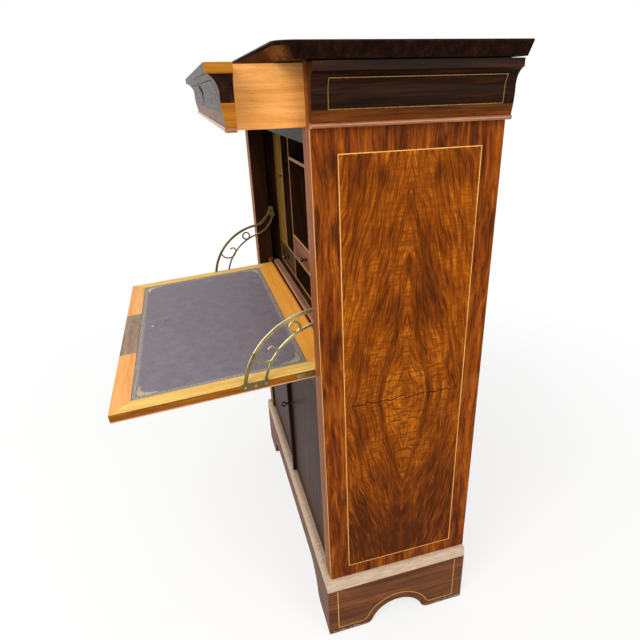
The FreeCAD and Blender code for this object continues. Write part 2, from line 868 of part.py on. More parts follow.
def knob(spot, length, radius):
    # A turned knob that stands out of a front, towards -Y.
    outline = [(radius * out, length * along) for out, along in knob_shares]
    return turned(outline, spot, vec(0, -1, 0))


def inner_drawer(word, x_span, z_span):
    left = min(x_span) + inner_gap
    right = max(x_span) - inner_gap
    low = z_span[0] + slide_gap
    high = z_span[1] - inner_gap
    front_y = fitment_setback
    tray_y = front_y + tray_front
    back_end = back_y - tray_back_gap
    rim = high - tray_rim_drop
    floor = low + tray_bottom
    boards = [
        box((left, left + tray_wall), (tray_y, back_end), (low, rim)),
        box((right - tray_wall, right), (tray_y, back_end), (low, rim)),
        box((left + tray_wall, right - tray_wall), (back_end - tray_wall, back_end), (floor, rim)),
        box((left + tray_wall, right - tray_wall), (tray_y, back_end), (low, floor)),
    ]
    middle = vec((left + right) / 2, front_y, (low + high) / 2)
    return {
        word + "_drawer_front": box((left, right), (front_y, tray_y), (low, high)),
        word + "_drawer_tray": group(boards),
        word + "_drawer_knob": knob(middle, knob_length, knob_radius),
    }


def swinging_leaf(pivot_x, middle_y, free_x, thickness, z_span):
    # A slab from its free edge to its pivot, half round about the pivot.
    half = thickness / 2
    out = math.copysign(half, pivot_x - free_x)
    z = z_span[0]
    points = [
        vec(free_x, middle_y - half, z),
        vec(pivot_x, middle_y - half, z),
        (vec(pivot_x + out, middle_y, z), vec(pivot_x, middle_y + half, z)),
        vec(free_x, middle_y + half, z),
    ]
    return prism(points, vec(0, 0, z_span[1] - z_span[0]))


def inner_doors():
    nodes = {}
    z_span = (upper_row_z + inner_gap, fitment_top_z - inner_gap)
    for side, word in zip(sides, ("left", "right")):
        free_x = side * (niche_half + fitment_board + inner_gap)
        leaf = swinging_leaf(side * inner_hinge_x(), inner_hinge_y(), free_x, inner_leaf_thickness, z_span)
        nodes[word + "_inner_door"] = leaf.cut(inner_pins(running_fit))
        knob_x = free_x + side * door_knob_inset
        spot = vec(knob_x, fitment_setback, mix(z_span[0], z_span[1], door_knob_share))
        nodes[word + "_inner_door_knob"] = knob(spot, door_knob_length, door_knob_radius)
    return nodes


def inner_drawers():
    lower = (lower_row_z, common_shelf_z)
    outer_near = centre_half + fitment_board
    nodes = inner_drawer("centre", wide(centre_half), (upper_row_z, centre_shelf_z))
    nodes.update(inner_drawer("left", to_side(-1, outer_near, fitment_half), lower))
    nodes.update(inner_drawer("right", to_side(1, outer_near, fitment_half), lower))
    return nodes


# Frieze drawer, drawn shut and then pulled out

def frieze_drawer():
    keyhole_low = frieze_z + bead_height + drawer_keyhole_rise
    keyhole_y = (-crown_projection - cut_over, cut_over)
    keyhole_z = (keyhole_low, keyhole_low + drawer_keyhole_height)
    keyhole = box(wide(drawer_keyhole_width / 2), keyhole_y, keyhole_z)
    side_far = cavity_half - drawer_side_gap
    side_near = side_far - drawer_side_thickness
    low = frieze_z + slide_gap
    high = top_z - drawer_head_gap
    back_span = (drawer_length - drawer_back_thickness, drawer_length)
    floor_z = (low + drawer_bottom_lift, low + drawer_bottom_lift + drawer_bottom_thickness)
    side_boards = [box(to_side(side, side_near, side_far), (0, drawer_length), (low, high)) for side in sides]
    back = box(wide(side_near), back_span, (floor_z[1], high - drawer_back_drop))
    bottom = box(wide(side_near), (0, drawer_length), floor_z)

    lock_high = high - drawer_head_gap
    lock_z = (lock_high - drawer_lock_height, lock_high)
    lock_y = (0, drawer_lock_thickness)
    bolt_low = drawer_lock_y() + slide_gap
    bolt_y = (bolt_low, bolt_low + drawer_bolt_thickness)
    bolt_z = (lock_high - drawer_bolt_height, lock_high)
    bolt = box(wide(drawer_bolt_width / 2), bolt_y, bolt_z)
    passage = box(
        wide(drawer_bolt_width / 2 + slide_gap),
        (bolt_y[0] - slide_gap, bolt_y[1] + slide_gap),
        (bolt_z[0] - slide_gap, bolt_z[1] + cut_over),
    )
    lock = box(wide(drawer_lock_width / 2), lock_y, lock_z).cut(passage)
    nodes = {
        "frieze_drawer_front": returned_front(cornice_profile).cut(keyhole),
        "frieze_drawer_bead": returned_front(bead_profile),
        "frieze_drawer_box": group(side_boards + [back]),
        "frieze_drawer_bottom": bottom,
        "frieze_drawer_lock": lock,
        "frieze_drawer_bolt": bolt,
    }
    pulled = {}
    for name, shape in nodes.items():
        placed = shape.copy()
        placed.translate(vec(0, -drawer_pull - slide_gap, 0))
        pulled[name] = placed
    return pulled


# Doors, lock and key

def lock_span():
    return (lock_z - lock_height / 2, lock_z + lock_height / 2)


def lock_case_box(near, grow):
    half = lock_thickness / 2 + grow
    z_low, z_high = lock_span()
    return box((near, near + lock_width + grow), (door_y - half, door_y + half), (z_low - grow, z_high + grow))


def door_bolt_box(near, far, grow):
    half = door_bolt_thickness / 2 + grow
    bolt_low = lock_z + door_bolt_rise - door_bolt_height / 2 - grow
    bolt_high = lock_z + door_bolt_rise + door_bolt_height / 2 + grow
    return box((near, far), (door_y - half, door_y + half), (bolt_low, bolt_high))


def doors():
    meeting = door_gap / 2
    z_span = (door_z, door_top_z)
    leaves = {}
    for side, word in zip(sides, ("left", "right")):
        leaf = swinging_leaf(side * door_pivot_x, door_y, side * meeting, door_thickness, z_span)
        leaves[word] = leaf.cut(door_pins(running_fit))

    key_x = meeting + key_inset
    key_z = lock_z - door_bolt_height / 2
    face_y = door_setback
    keyhole = rod(vec(key_x, face_y - cut_over, key_z), vec(key_x, door_y, key_z), keyhole_radius)
    slot_x = (key_x - keyhole_slot / 2, key_x + keyhole_slot / 2)
    slot = box(slot_x, (face_y - cut_over, door_y), (key_z - keyhole_length, key_z))
    pocket = lock_case_box(meeting - cut_over, let_in_fit).fuse(lock_case_box(meeting, let_in_fit))
    right = leaves["right"].cut(pocket).cut(keyhole).cut(slot)
    mortise = door_bolt_box(-meeting - door_bolt_throw - slide_gap, cut_over, slide_gap)
    left = leaves["left"].cut(mortise)

    z_low, z_high = lock_span()
    inside = box(
        (meeting + lock_wall, meeting + lock_width - lock_wall),
        (door_y - lock_thickness / 2 + lock_wall, door_y + lock_thickness / 2 - lock_wall),
        (z_low + lock_wall, z_high - lock_wall),
    )
    mouth = door_bolt_box(meeting - cut_over, meeting + lock_width / 2, slide_gap / 2)
    front_y = door_y - lock_thickness / 2
    key_bore = rod(
        vec(key_x, front_y - cut_over, key_z), vec(key_x, door_y, key_z), key_radius + running_fit)
    case_shell = lock_case_box(meeting, 0).cut(inside).cut(mouth).cut(key_bore)
    bolt = door_bolt_box(meeting + bolt_sink, meeting + bolt_sink + door_bolt_length, 0)
    return {
        "left_door": left,
        "right_door": right,
        "door_lock": case_shell,
        "door_bolt": bolt,
        "door_key": key(key_x, key_z),
    }


def key(key_x, key_z):
    tip_y = door_y + lock_thickness / 2 - lock_wall - slide_gap
    bow_y = door_setback - key_stem
    bit_front_y = tip_y - key_bit_width
    stem = rod(vec(key_x, bow_y, key_z), vec(key_x, tip_y, key_z), key_radius)
    collar = rod(vec(key_x, bow_y, key_z), vec(key_x, bow_y + key_collar_length, key_z), key_collar_radius)
    middle = vec(key_x, bow_y - (key_bow_radius + key_bow_hole_radius) / 2, key_z)
    half = vec(key_bow_thickness / 2, 0, 0)
    bow = rod(middle - half, middle + half, key_bow_radius)
    bow_hole = rod(middle - half * 2, middle + half * 2, key_bow_hole_radius)
    bit_x = (key_x - key_bit_thickness / 2, key_x + key_bit_thickness / 2)
    bit = box(bit_x, (bit_front_y, tip_y), (key_z - key_bit_reach, key_z))
    return stem.multiFuse([collar, bow.cut(bow_hole), bit]).removeSplitter()


nodes = {}
for build in (plinth, case, cornice_and_top, fall, fitment, inner_drawers, inner_doors, frieze_drawer, doors):
    nodes.update(build())

os.makedirs("parts", exist_ok=True)
for name, shape in nodes.items():
    placed = shape.copy()
    placed.translate(vec(0, frame_y, 0))
    placed.exportStep("parts/" + name + ".step")
print(len(nodes), "nodes,", sum(len(shape.Solids) for shape in nodes.values()), "solids")
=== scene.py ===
import json
import math
from functools import partial
import bpy
import bmesh
from mathutils import Matrix, Vector


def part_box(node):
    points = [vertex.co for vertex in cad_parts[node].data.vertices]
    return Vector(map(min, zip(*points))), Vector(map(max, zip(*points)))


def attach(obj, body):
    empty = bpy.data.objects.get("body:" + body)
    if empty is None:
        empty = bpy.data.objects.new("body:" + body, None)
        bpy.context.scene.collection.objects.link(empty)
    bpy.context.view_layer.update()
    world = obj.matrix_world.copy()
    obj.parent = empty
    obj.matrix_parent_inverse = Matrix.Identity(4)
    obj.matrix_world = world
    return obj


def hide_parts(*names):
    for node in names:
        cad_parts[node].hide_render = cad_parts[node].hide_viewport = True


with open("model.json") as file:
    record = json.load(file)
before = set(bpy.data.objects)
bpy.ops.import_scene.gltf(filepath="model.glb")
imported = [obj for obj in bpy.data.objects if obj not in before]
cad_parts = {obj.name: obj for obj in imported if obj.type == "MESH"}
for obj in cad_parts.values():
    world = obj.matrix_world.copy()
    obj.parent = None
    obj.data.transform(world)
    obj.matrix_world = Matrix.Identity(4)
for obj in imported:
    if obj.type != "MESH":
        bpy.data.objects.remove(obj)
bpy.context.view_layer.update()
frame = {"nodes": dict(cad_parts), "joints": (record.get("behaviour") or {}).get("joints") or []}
nodes = frame["nodes"]
scene = bpy.context.scene
mm = 0.001
sides = (-1, 1)
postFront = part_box("right_post")[0].y  # front face of the corner posts, where the measured lengths start
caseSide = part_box("right_side_panel")[1].x  # outer face of the case's side
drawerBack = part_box("frieze_drawer_front")[1].y  # back of the drawer front, which meets the posts when shut
print("frame loaded,", len(nodes), "nodes")


# Camera, fitted to the photo: place from the middle of the posts' front at floor level
cameraSettings = {
    "place": (1.33705, -0.21203, 1.31580),
    "forward": (-0.87107, 0.24933, -0.42316),
    "up": (-0.39861, 0.14449, 0.90567),
    "lens": 28.99, "shift": (-0.0316, 0.0154), "clip": (0.05, 60),
}


def makeCamera(s):
    data = bpy.data.cameras.new("photoCamera")
    data.lens = s["lens"]
    data.shift_x, data.shift_y = s["shift"]
    data.clip_start, data.clip_end = s["clip"]
    camera = bpy.data.objects.new("photoCamera", data)
    scene.collection.objects.link(camera)
    back = -Vector(s["forward"]).normalized()
    right = Vector(s["up"]).cross(back).normalized()
    up = back.cross(right)
    turn = Matrix((right, up, back)).transposed().to_4x4()
    camera.matrix_world = Matrix.Translation(Vector(s["place"]) + Vector((0, postFront, 0))) @ turn
    scene.camera = camera


makeCamera(cameraSettings)
print("camera set")


# Node and material helpers
rampPlaces = {3: (0.30, 0.50, 0.72), 4: (0.30, 0.48, 0.62, 0.78)}  # where the stops of most ramps lie
noiseSpan = (0.3, 0.7)  # most of a noise's values lie between these
faceSpan = (0.4, 0.6)  # how far a face turns while one wood gives way to another
toMm = (1000, 1000, 1000)
smooth = {"interpolation_type": "SMOOTHSTEP"}
darken = {"blend_type": "MULTIPLY"}


def linearColour(code):  # sRGB hex to linear
    parts = [int(code[i:i + 2], 16) / 255 for i in (1, 3, 5)]
    return tuple(c / 12.92 if c <= 0.04045 else ((c + 0.055) / 1.055) ** 2.4 for c in parts) + (1.0,)


def setInputs(node, values):  # a socket is linked, a hex colour made linear, any other value set
    for key, value in values.items():
        if isinstance(value, bpy.types.NodeSocket):
            node.id_data.links.new(value, node.inputs[key])
        else:
            node.inputs[key].default_value = linearColour(value) if isinstance(value, str) else value


def addNode(tree, kind, *values, give=None, **settings):
    # a word after the kind is its operation or data type; values fill the live inputs, None skips one
    kind, _, mode = kind.partition(" ")
    node = tree.nodes.new("ShaderNode" + kind)
    if mode:
        setattr(node, "operation" if hasattr(node, "operation") else "data_type", mode)
    named = {key: value for key, value in settings.items() if key in node.inputs}
    for key, value in settings.items():
        if key not in named:
            setattr(node, key, value)
    live = [i for i, socket in enumerate(node.inputs) if socket.enabled]
    setInputs(node, {**{i: value for i, value in zip(live, values) if value is not None}, **named})
    return node.outputs[give] if give else next(socket for socket in node.outputs if socket.enabled)


def newMaterial(name):  # with what adds nodes to it, and its shader
    material = bpy.data.materials.new(name)
    material.use_nodes = True
    tree = material.node_tree
    return material, partial(addNode, tree), tree.nodes["Principled BSDF"]


def fillRamp(ramp, stops):  # hex colours, with places of their own or not
    if isinstance(stops[0], str):
        stops = list(zip(rampPlaces[len(stops)], stops))
    elements = ramp.node.color_ramp.elements
    while len(elements) < len(stops):
        elements.new(0.5)
    for element, (position, code) in zip(elements, stops):
        element.position = position
        element.color = linearColour(code)
    return ramp


def useMaterial(material, pieces):  # names with spaces between them
    for name in pieces.split():
        slots = nodes[name].material_slots
        for slot in slots:
            slot.link = "OBJECT"
            slot.material = material
        if not slots:
            nodes[name].data.materials.append(material)


def namesWith(*ends):
    return " ".join(name for name in nodes if name.endswith(ends))


# Wood: bands of growth, finer fibres along them and open pores, laid along one axis
grainTurn = {"x": (0, 0, 0), "y": (0, 0, -math.pi / 2), "z": (0, math.pi / 2, 0)}
grainLayers = (("bandMm", 16, 3), ("fibreMm", 34, 4), ("poreMm", 14, 1))  # width, stretch along it, detail
grainRough = 0.6
waveStretch = 3
poreSpan = (0.60, 0.72)  # noise where a pore starts and is deepest
poreRelief = 0.6 * mm
organicIor = 1.5  # polish, bare wood and leather


def woodGrain(add, look, **changes):  # gives the colour, a fibre height from 0 to 1, and the look
    look = {**look, **changes}
    along = add("Mapping", add("TexCoord", give="Object"), None, grainTurn[look["grain"]], toMm)
    wide = 1 / look["waveMm"]
    waveSize = add("VectorMath MULTIPLY", along, (wide / waveStretch, wide, wide))
    wave = add("TexNoise", waveSize, 1, 2, give="Color")
    centred = add("VectorMath SUBTRACT", wave, (0.5, 0.5, 0.5))
    depth = look["waveDepthMm"]
    bent = add("VectorMath MULTIPLY_ADD", centred, (0, depth, depth), along)
    layers = []
    for width, stretch, detail in grainLayers:
        fine = 1 / look[width]
        size = add("VectorMath MULTIPLY", bent, (fine / stretch / look["length"], fine, fine))
        layers.append(add("TexNoise", size, 1, detail, grainRough))
    bands, fibres, pores = layers
    colour = fillRamp(add("ValToRGB", add("Mix", look["fibreShare"], bands, fibres)), look["stops"])
    pits = add("MapRange", pores, *poreSpan, 0, look["poreDepth"])
    colour = add("Mix RGBA", pits, colour, look["poreColour"], **darken)
    return colour, add("Math SUBTRACT", fibres, pits), look


def makeWood(name, pieces, pattern, *settings, **changes):  # polish over a pattern's colour and height
    material, add, shader = newMaterial(name)
    colour, height, look = pattern(add, *settings, **changes)
    setInputs(shader, {
        "Base Color": colour, "Roughness": add("MapRange", height, *noiseSpan, *look["rough"]),
        "Normal": add("Bump", Strength=look["bump"], Distance=poreRelief, Height=height), "IOR": organicIor,
        "Specular IOR Level": look["shine"], "Coat Weight": look["coat"], "Coat Roughness": look["coatRough"],
    })
    useMaterial(material, pieces)
    return material


def frontEdged(add, show, hidden, **changes):  # one wood on the faces to the front, another elsewhere
    showColour, showHeight, look = woodGrain(add, show, **changes)
    rawColour, rawHeight, _ = woodGrain(add, hidden, **changes)
    facing = add("VectorMath DOT_PRODUCT", add("TexCoord", give="Normal"), (0, -1, 0))
    mask = add("MapRange", facing, *faceSpan)
    return add("Mix RGBA", mask, rawColour, showColour), add("Mix", mask, rawHeight, showHeight), look


# French-polished walnut: brown with darker bands, open pores and a smooth coat over it.
# Pores are about 0.3 mm wide in the real wood and are drawn three times as coarse to show.
walnutLook = {
    "grain": "z", "bandMm": 16, "fibreMm": 3.0, "poreMm": 0.9, "fibreShare": 0.4,
    "waveMm": 110, "waveDepthMm": 22, "length": 1.0,  # length: share of a straight tree's grain
    "stops": ((0.30, "#4A200A"), (0.46, "#7E3E14"), (0.58, "#A05A20"), (0.72, "#B87034")),
    "poreDepth": 0.5, "poreColour": "#4A2410", "rough": (0.36, 0.50), "bump": 0.10,
    "shine": 0.05, "coat": 0.03, "coatRough": 0.15,
}
# Blackish stained walnut under a high polish: almost black-brown, red where light gets in
ebonisedLook = {
    **walnutLook, "bandMm": 12, "poreDepth": 0.3, "rough": (0.28, 0.40), "coatRough": 0.08,
    "stops": ((0.30, "#090402"), (0.48, "#180B05"), (0.62, "#2A1409"), (0.76, "#42200E")),
}
# Bare softwood, darkened by age: golden with a soft early and late band, quite matt
bareLook = {
    **walnutLook, "stops": ("#C67E38", "#DE964C", "#E8A65C", "#F0B870"), "bandMm": 9, "poreDepth": 0.25,
    "poreColour": "#9A6030", "rough": (0.55, 0.70), "bump": 0.18, "coat": 0.0,
}
# The same walnut, unpolished, drawn dull dark brown as painted shade for places inside the case
shadedInnerLook = {
    **walnutLook, "stops": ("#180D06", "#2A180C", "#3A2211", "#4C2E18"), "rough": (0.50, 0.64), "coat": 0.0,
}


# Side veneer: four matched leaves of curled walnut that meet on a middle line and at a crack
veneerSettings = {
    "middleY": 188, "matchZ": 697, "field": (49, 327, 222, 1214),  # mm from the posts' front and the floor
    "lean": 0.21,  # how far the flame leans in for each mm of height
    "drift": (0, 0.0021, 0.0017),  # how fast the leaves differ, for each mm
    "swirl": (60, 150, 8),  # width, height and reach, mm
    "streaks": ((9, 10, 4, 0.52), (2.8, 12, 4, 0.68), (28, 3, 2, 0.20)),  # width mm, stretch, detail, share
    "tone": (60, 150, 3, 0.36),  # slow changes: width and height mm, detail, share
    "stops": ((0.22, "#431C02"), (0.37, "#662D03"), (0.50, "#894306"), (0.62, "#A85B0A"), (0.78, "#CB841E")),
    # from and to, mm, and the change in tone or the share left there
    "heart": (95, 8, -0.01, 0.07), "footShade": (-400, -60, -0.22, -0.02), "bandFade": (90, 340, 1.0, 0.3),
    "darkBands": ((60, 14, 0.12), (118, 18, 0.06)),  # across at the joint, half width, depth
    "eyes": ((92, 493, 52, 62, 0.12), (54, 474, 10, 30, 0.16)),  # across, up, half width, half height, depth
    "shades": ((42, 250, 46, 210, 0.10), (-95, 130, 40, 90, 0.05), (70, -330, 70, 150, 0.05)),
    "spotSpan": (1.0, 0.15),  # shares of the half size: start, full depth
    "curlMm": 5.2, "curlStretch": 5, "curlColour": "#592803",
    "curlBars": (0.42, 0.64, 0, 0.88), "curlTone": (0.38, 0.58, 0.30), "curlReach": (160, 60, 0.50),
    "crack": (64, 312, 0.9), "crackColour": "#1C0C06",  # from, to and half width, mm
    "crackEdge": (2, 0.6), "wanderMm": 26, "wanderFine": (5, 0.65), "wander": (-9, 7),
    "knotSize": (0.02, 0.028, 0.0095), "knots": (0.55, 0.72, 0, 0.8), "knotColour": "#2E1206",
    "patch": (42, 8, 0, 0.3), "patchColour": "#A45A16",
    # inward: how far a face turns into the case before it gets painted shade
    "frontSpan": (-0.6, -0.8), "frontShare": 0.55, "frontColour": "#8A5028", "inward": -100,
}
borderLook = {
    **walnutLook, "stops": ((0.28, "#220C02"), (0.43, "#582406"), (0.55, "#843F09"), (0.70, "#B06018")),
    "bandMm": 15, "waveMm": 74, "waveDepthMm": 44, "fibreShare": 0.46, "length": 0.7,
    "shine": 0.03, "coat": 0.02,
}


def sideVeneer(add, s):  # polished curl walnut: gold flames between dark streaks, with fine bars across
    place = add("TexCoord").node.outputs
    start = (0, -postFront * 1000 - s["middleY"], -s["matchZ"])
    local = add("Mapping", place["Object"], start, None, toMm)
    split = add("SeparateXYZ", local).node.outputs
    across = add("Math ABSOLUTE", split["Y"])
    height = add("Math ABSOLUTE", split["Z"])
    # the four leaves differ more with distance from the middle, as cut leaves do
    drift = add("VectorMath DOT_PRODUCT", local, s["drift"])
    swirlWide, swirlHigh, swirlMm = s["swirl"]
    folded = add("CombineXYZ", across, height, drift)
    swirl = add("TexNoise", add("VectorMath MULTIPLY", folded, (1 / swirlWide, 1 / swirlHigh, 1)), 1, 2)
    swirl = add("MapRange", swirl, *noiseSpan, -swirlMm, swirlMm, clamp=False)
    flame = add("Math ADD", add("Math MULTIPLY_ADD", height, s["lean"], across), swirl)
    grain = add("CombineXYZ", flame, height, drift)
    # streaks, fibres and slow changes of tone add up to one value
    layers = []
    for wide, long, fine, share in s["streaks"]:
        layers.append((grain, (1 / wide, 1 / wide / long, 1), fine, share))
    toneWide, toneHigh, toneFine, toneShare = s["tone"]
    layers.append((local, (0, 1 / toneWide, 1 / toneHigh), toneFine, toneShare))
    value = 0.5 - sum(layer[3] for layer in layers) / 2
    for source, size, detail, share in layers:
        noise = add("TexNoise", add("VectorMath MULTIPLY", source, size), 1, detail)
        value = add("Math MULTIPLY_ADD", noise, share, value)
    changes = [add("MapRange", flame, *s["heart"], **smooth), add("MapRange", split["Z"], *s["footShade"])]
    fade = add("MapRange", height, *s["bandFade"])
    for middle, half, depth in s["darkBands"]:
        off = add("Math ABSOLUTE", add("Math SUBTRACT", flame, middle))
        dip = add("MapRange", off, half, 0, 0, -depth, **smooth)
        changes.append(add("Math MULTIPLY", dip, fade))
    for sideways, spots in ((across, s["eyes"]), (split["Y"], s["shades"])):
        spot = add("CombineXYZ", sideways, split["Z"])
        for x, z, wide, high, depth in spots:
            away = add("VectorMath MULTIPLY_ADD", spot, (1 / wide, 1 / high, 0), (-x / wide, -z / high, 0))
            away = add("VectorMath LENGTH", away)
            changes.append(add("MapRange", away, *s["spotSpan"], 0, -depth, **smooth))
    for change in changes:
        value = add("Math ADD", value, change)
    colour = fillRamp(add("ValToRGB", value), s["stops"])
    # curl bars, about 5 mm apart, strongest in the golden flame
    curl = 1 / s["curlMm"]
    bars = add("TexNoise", add("VectorMath MULTIPLY", grain, (curl / s["curlStretch"], curl, 1)), 1, 1)
    bars = add("MapRange", bars, *s["curlBars"])
    for source, span in ((value, s["curlTone"]), (flame, s["curlReach"])):
        bars = add("Math MULTIPLY", bars, add("MapRange", source, *span))
    colour = add("Mix RGBA", bars, colour, s["curlColour"])
    # outside the stringing is plain straight-grown veneer with knots
    border, fibre, _ = woodGrain(add, borderLook)
    knots = add("TexNoise", add("VectorMath MULTIPLY", local, s["knotSize"]), 1, 3)
    border = add("Mix RGBA", add("MapRange", knots, *s["knots"]), border, s["knotColour"])
    border = add("Mix RGBA", add("MapRange", height, *s["patch"], **smooth), border, s["patchColour"])
    low, high, foot, head = s["field"]
    for axis, middle, limits in (("Y", s["middleY"], (low, high)), ("Z", s["matchZ"], (foot, head))):
        for operation, limit in zip(("LESS_THAN", "GREATER_THAN"), limits):
            outside = add("Math " + operation, split[axis], limit - middle)
            colour = add("Mix RGBA", outside, colour, border)
    # the crack along the lower leaves' joint wanders by a few mm
    crackFrom, crackTo, crackHalf = s["crack"]
    along = add("VectorMath MULTIPLY", local, (0, 1 / s["wanderMm"], 0))
    wander = add("TexNoise", along, 1, *s["wanderFine"])
    wander = add("MapRange", wander, *noiseSpan, *s["wander"], clamp=False)
    off = add("Math ABSOLUTE", add("Math SUBTRACT", split["Z"], wander))
    crack = add("MapRange", off, *[crackHalf * share for share in s["crackEdge"]])
    for operation, limit in (("GREATER_THAN", crackFrom), ("LESS_THAN", crackTo)):
        crack = add("Math MULTIPLY", crack, add("Math " + operation, split["Y"], limit - s["middleY"]))
    colour = add("Mix RGBA", crack, colour, s["crackColour"])
    # the posts' fronts are redder, and faces that look into the case get painted shade: plain wood drawn dark
    normal = add("SeparateXYZ", place["Normal"]).node.outputs
    front = add("MapRange", normal["Y"], *s["frontSpan"], 0, s["frontShare"])
    colour = add("Mix RGBA", front, colour, s["frontColour"])
    outward = add("Math MULTIPLY", normal["X"], split["X"])
    inward = add("Math LESS_THAN", outward, s["inward"])
    colour = add("Mix RGBA", inward, colour, woodGrain(add, shadedInnerLook)[0])
    return colour, add("Math SUBTRACT", fibre, crack), borderLook


sidePieces = "left_side_panel right_side_panel left_post right_post"
makeWood("curlWalnutVeneer", sidePieces, sideVeneer, veneerSettings)
print("side veneer laid")


# Cornice: walnut drawn dark as painted shade under the top, with a lighter foot as painted light; cut ends,
# tops and backs show bare brown wood
friezeSettings = {
    "bellyTop": 1285, "coveZ": (1301, 1341),  # mm: the painted light below the stringing, and the painted shade in the hollow of the returns
    # the foot's and the returns' colours are painted light; bare wood has its own
    "bellyStops": ("#341808", "#5C2E0C", "#804814"), "rawStops": ("#2A1409", "#40200F", "#583018"),
    "returnStops": ("#744010", "#9A5E18", "#B47826"),
    "returnSpan": (0.35, 0.45), "rawSpan": (0.85, 0.95),  # how far a face turns before it shows them
}
shadedFriezeLook = {
    **ebonisedLook, "shine": 0.03, "coat": 0.02,
    "stops": ((0.30, "#0E0603"), (0.48, "#200F06"), (0.62, "#361B0B"), (0.76, "#542C12")),
}


def friezeVeneer(add, s, grain, isDrawer):
    dark, height, look = woodGrain(add, shadedFriezeLook, grain=grain)
    belly = woodGrain(add, look, stops=s["bellyStops"])[0]
    raw = woodGrain(add, bareLook, stops=s["rawStops"])[0]
    place = add("TexCoord").node.outputs
    level = add("SeparateXYZ", place["Object"], give="Z")
    normal = add("SeparateXYZ", place["Normal"]).node.outputs
    top = s["bellyTop"] * mm
    colour = add("Mix RGBA", add("MapRange", level, top + mm, top - mm), dark, belly)
    ends = normal["Y"]
    if isDrawer:  # the returns at the corners are drawn lighter as painted light, with painted shade in their hollow
        gold = woodGrain(add, look, stops=s["returnStops"], grain="y")[0]
        foot, head = s["coveZ"]
        coveShade = add("Math COMPARE", level, (foot + head) / 2 * mm, (head - foot) / 2 * mm)
        returned = add("Mix RGBA", coveShade, gold, dark)
        sideways = add("MapRange", add("Math ABSOLUTE", normal["X"]), *s["returnSpan"])
        colour = add("Mix RGBA", sideways, colour, returned)
    else:
        ends = add("Math ABSOLUTE", ends)
    for facing in (ends, normal["Z"]):
        colour = add("Mix RGBA", add("MapRange", facing, *s["rawSpan"]), colour, raw)
    return colour, height, look


makeWood("friezeFrontVeneer", "frieze_drawer_front", friezeVeneer, friezeSettings, "x", True)
makeWood("friezeSideVeneer", "side_cornices", friezeVeneer, friezeSettings, "y", False)
topLook = {**ebonisedLook, "grain": "x", "shine": 0.02, "coat": 0.0}
makeWood("ebonisedRails", "upper_rail middle_rail", woodGrain, topLook)
topSettings = {
    "nose": 6.5, "frontSpan": (-0.25, -0.6),  # mm of the edge that is polished black; how far the front turns
    # colours of the painted light on the undercut edge
    "undercutStops": ("#3A1D0C", "#5C3216", "#784622", "#96602F"),
}


def topVeneer(add, s):  # black, with painted light on the front's undercut edge, drawn brown
    dark, height, look = woodGrain(add, topLook)
    brown = woodGrain(add, look, stops=s["undercutStops"])[0]
    place = add("TexCoord").node.outputs
    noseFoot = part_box("top_board")[1].z - s["nose"] * mm
    below = add("Math LESS_THAN", add("SeparateXYZ", place["Object"], give="Z"), noseFoot)
    front = add("MapRange", add("SeparateXYZ", place["Normal"], give="Y"), *s["frontSpan"])
    return add("Mix RGBA", add("Math MULTIPLY", below, front), dark, brown), height, look


makeWood("ebonisedTop", "top_board", topVeneer, topSettings)
# The doors are a dark walnut, redder than the top, drawn darker still as painted shade
shadedDoorLook = {
    **ebonisedLook, "stops": ("#1E0E07", "#341B10", "#482818", "#5C3822"), "waveDepthMm": 40, "shine": 0.01,
    "coat": 0.0,
}
makeWood("walnutDoorsPaintedShade", "left_door right_door", woodGrain, shadedDoorLook)
# Turned and polished fruitwood bead: pinkish brown, fine and even
beadLook = {
    **walnutLook, "stops": ("#6E3A1E", "#94582E", "#B07448"), "bandMm": 5, "rough": (0.22, 0.34),
    "shine": 0.5, "coat": 0.2,
}
makeWood("beadFruitwoodSides", "cornice_beads", woodGrain, beadLook, grain="y")
makeWood("beadFruitwoodFront", "frieze_drawer_bead", woodGrain, beadLook, grain="x")
print("cornice, top, rails and doors polished")


# Plinth: plain walnut laid level, grey and scuffed at the floor, under a bare pale moulding
plinthLook = {
    **walnutLook, "rough": (0.42, 0.56),
    "stops": ((0.30, "#3A1C0C"), (0.48, "#5E361C"), (0.60, "#744424"), (0.76, "#8C5830")),
}
plinthSettings = {
    "chips": 90, "chipSpan": (0.3, 0.75),  # how many to a metre: chips near 11 mm
    "scuffMm": 14, "scuffShare": 0.75, "scuffColour": "#8C7A68",
}


def plinthVeneer(add, s, grain):  # a dull polish, with the finish gone along the bottom edge
    colour, height, look = woodGrain(add, plinthLook, grain=grain)
    place = add("TexCoord", give="Object")
    chips = add("TexNoise", place, s["chips"], 4)
    reach = add("MapRange", chips, *s["chipSpan"], 0, s["scuffMm"] * mm)
    bare = add("Math LESS_THAN", add("SeparateXYZ", place, give="Z"), reach)
    bare = add("Math MULTIPLY", bare, s["scuffShare"])
    return add("Mix RGBA", bare, colour, s["scuffColour"]), height, look


makeWood("plinthWalnutFront", "plinth_front", plinthVeneer, plinthSettings, "x")
makeWood("plinthWalnutSides", "plinth_sides", plinthVeneer, plinthSettings, "y")
# Bare limewood moulding, its finish worn off: pale and dusty
limeLook = {
    **bareLook, "stops": ("#A08A74", "#B8A088", "#C8B098", "#D8C2AC"), "grain": "y", "bandMm": 5,
    "poreColour": "#A08060", "length": 0.4,
}
makeWood("bareLimeMoulding", "plinth_moulding", woodGrain, limeLook)
# Aged pine of the carcass: brown-yellow, unpolished
pineLook = {**bareLook, "stops": ("#74502E", "#94683C", "#A87C4C", "#B88E60"), "bandMm": 14}
boardSettings = {  # back boards, mm
    "width": 121.0, "joint": 1.6, "jointColour": "#2A1A0E", "toneColour": "#A08060", "toneShare": 0.45,
}


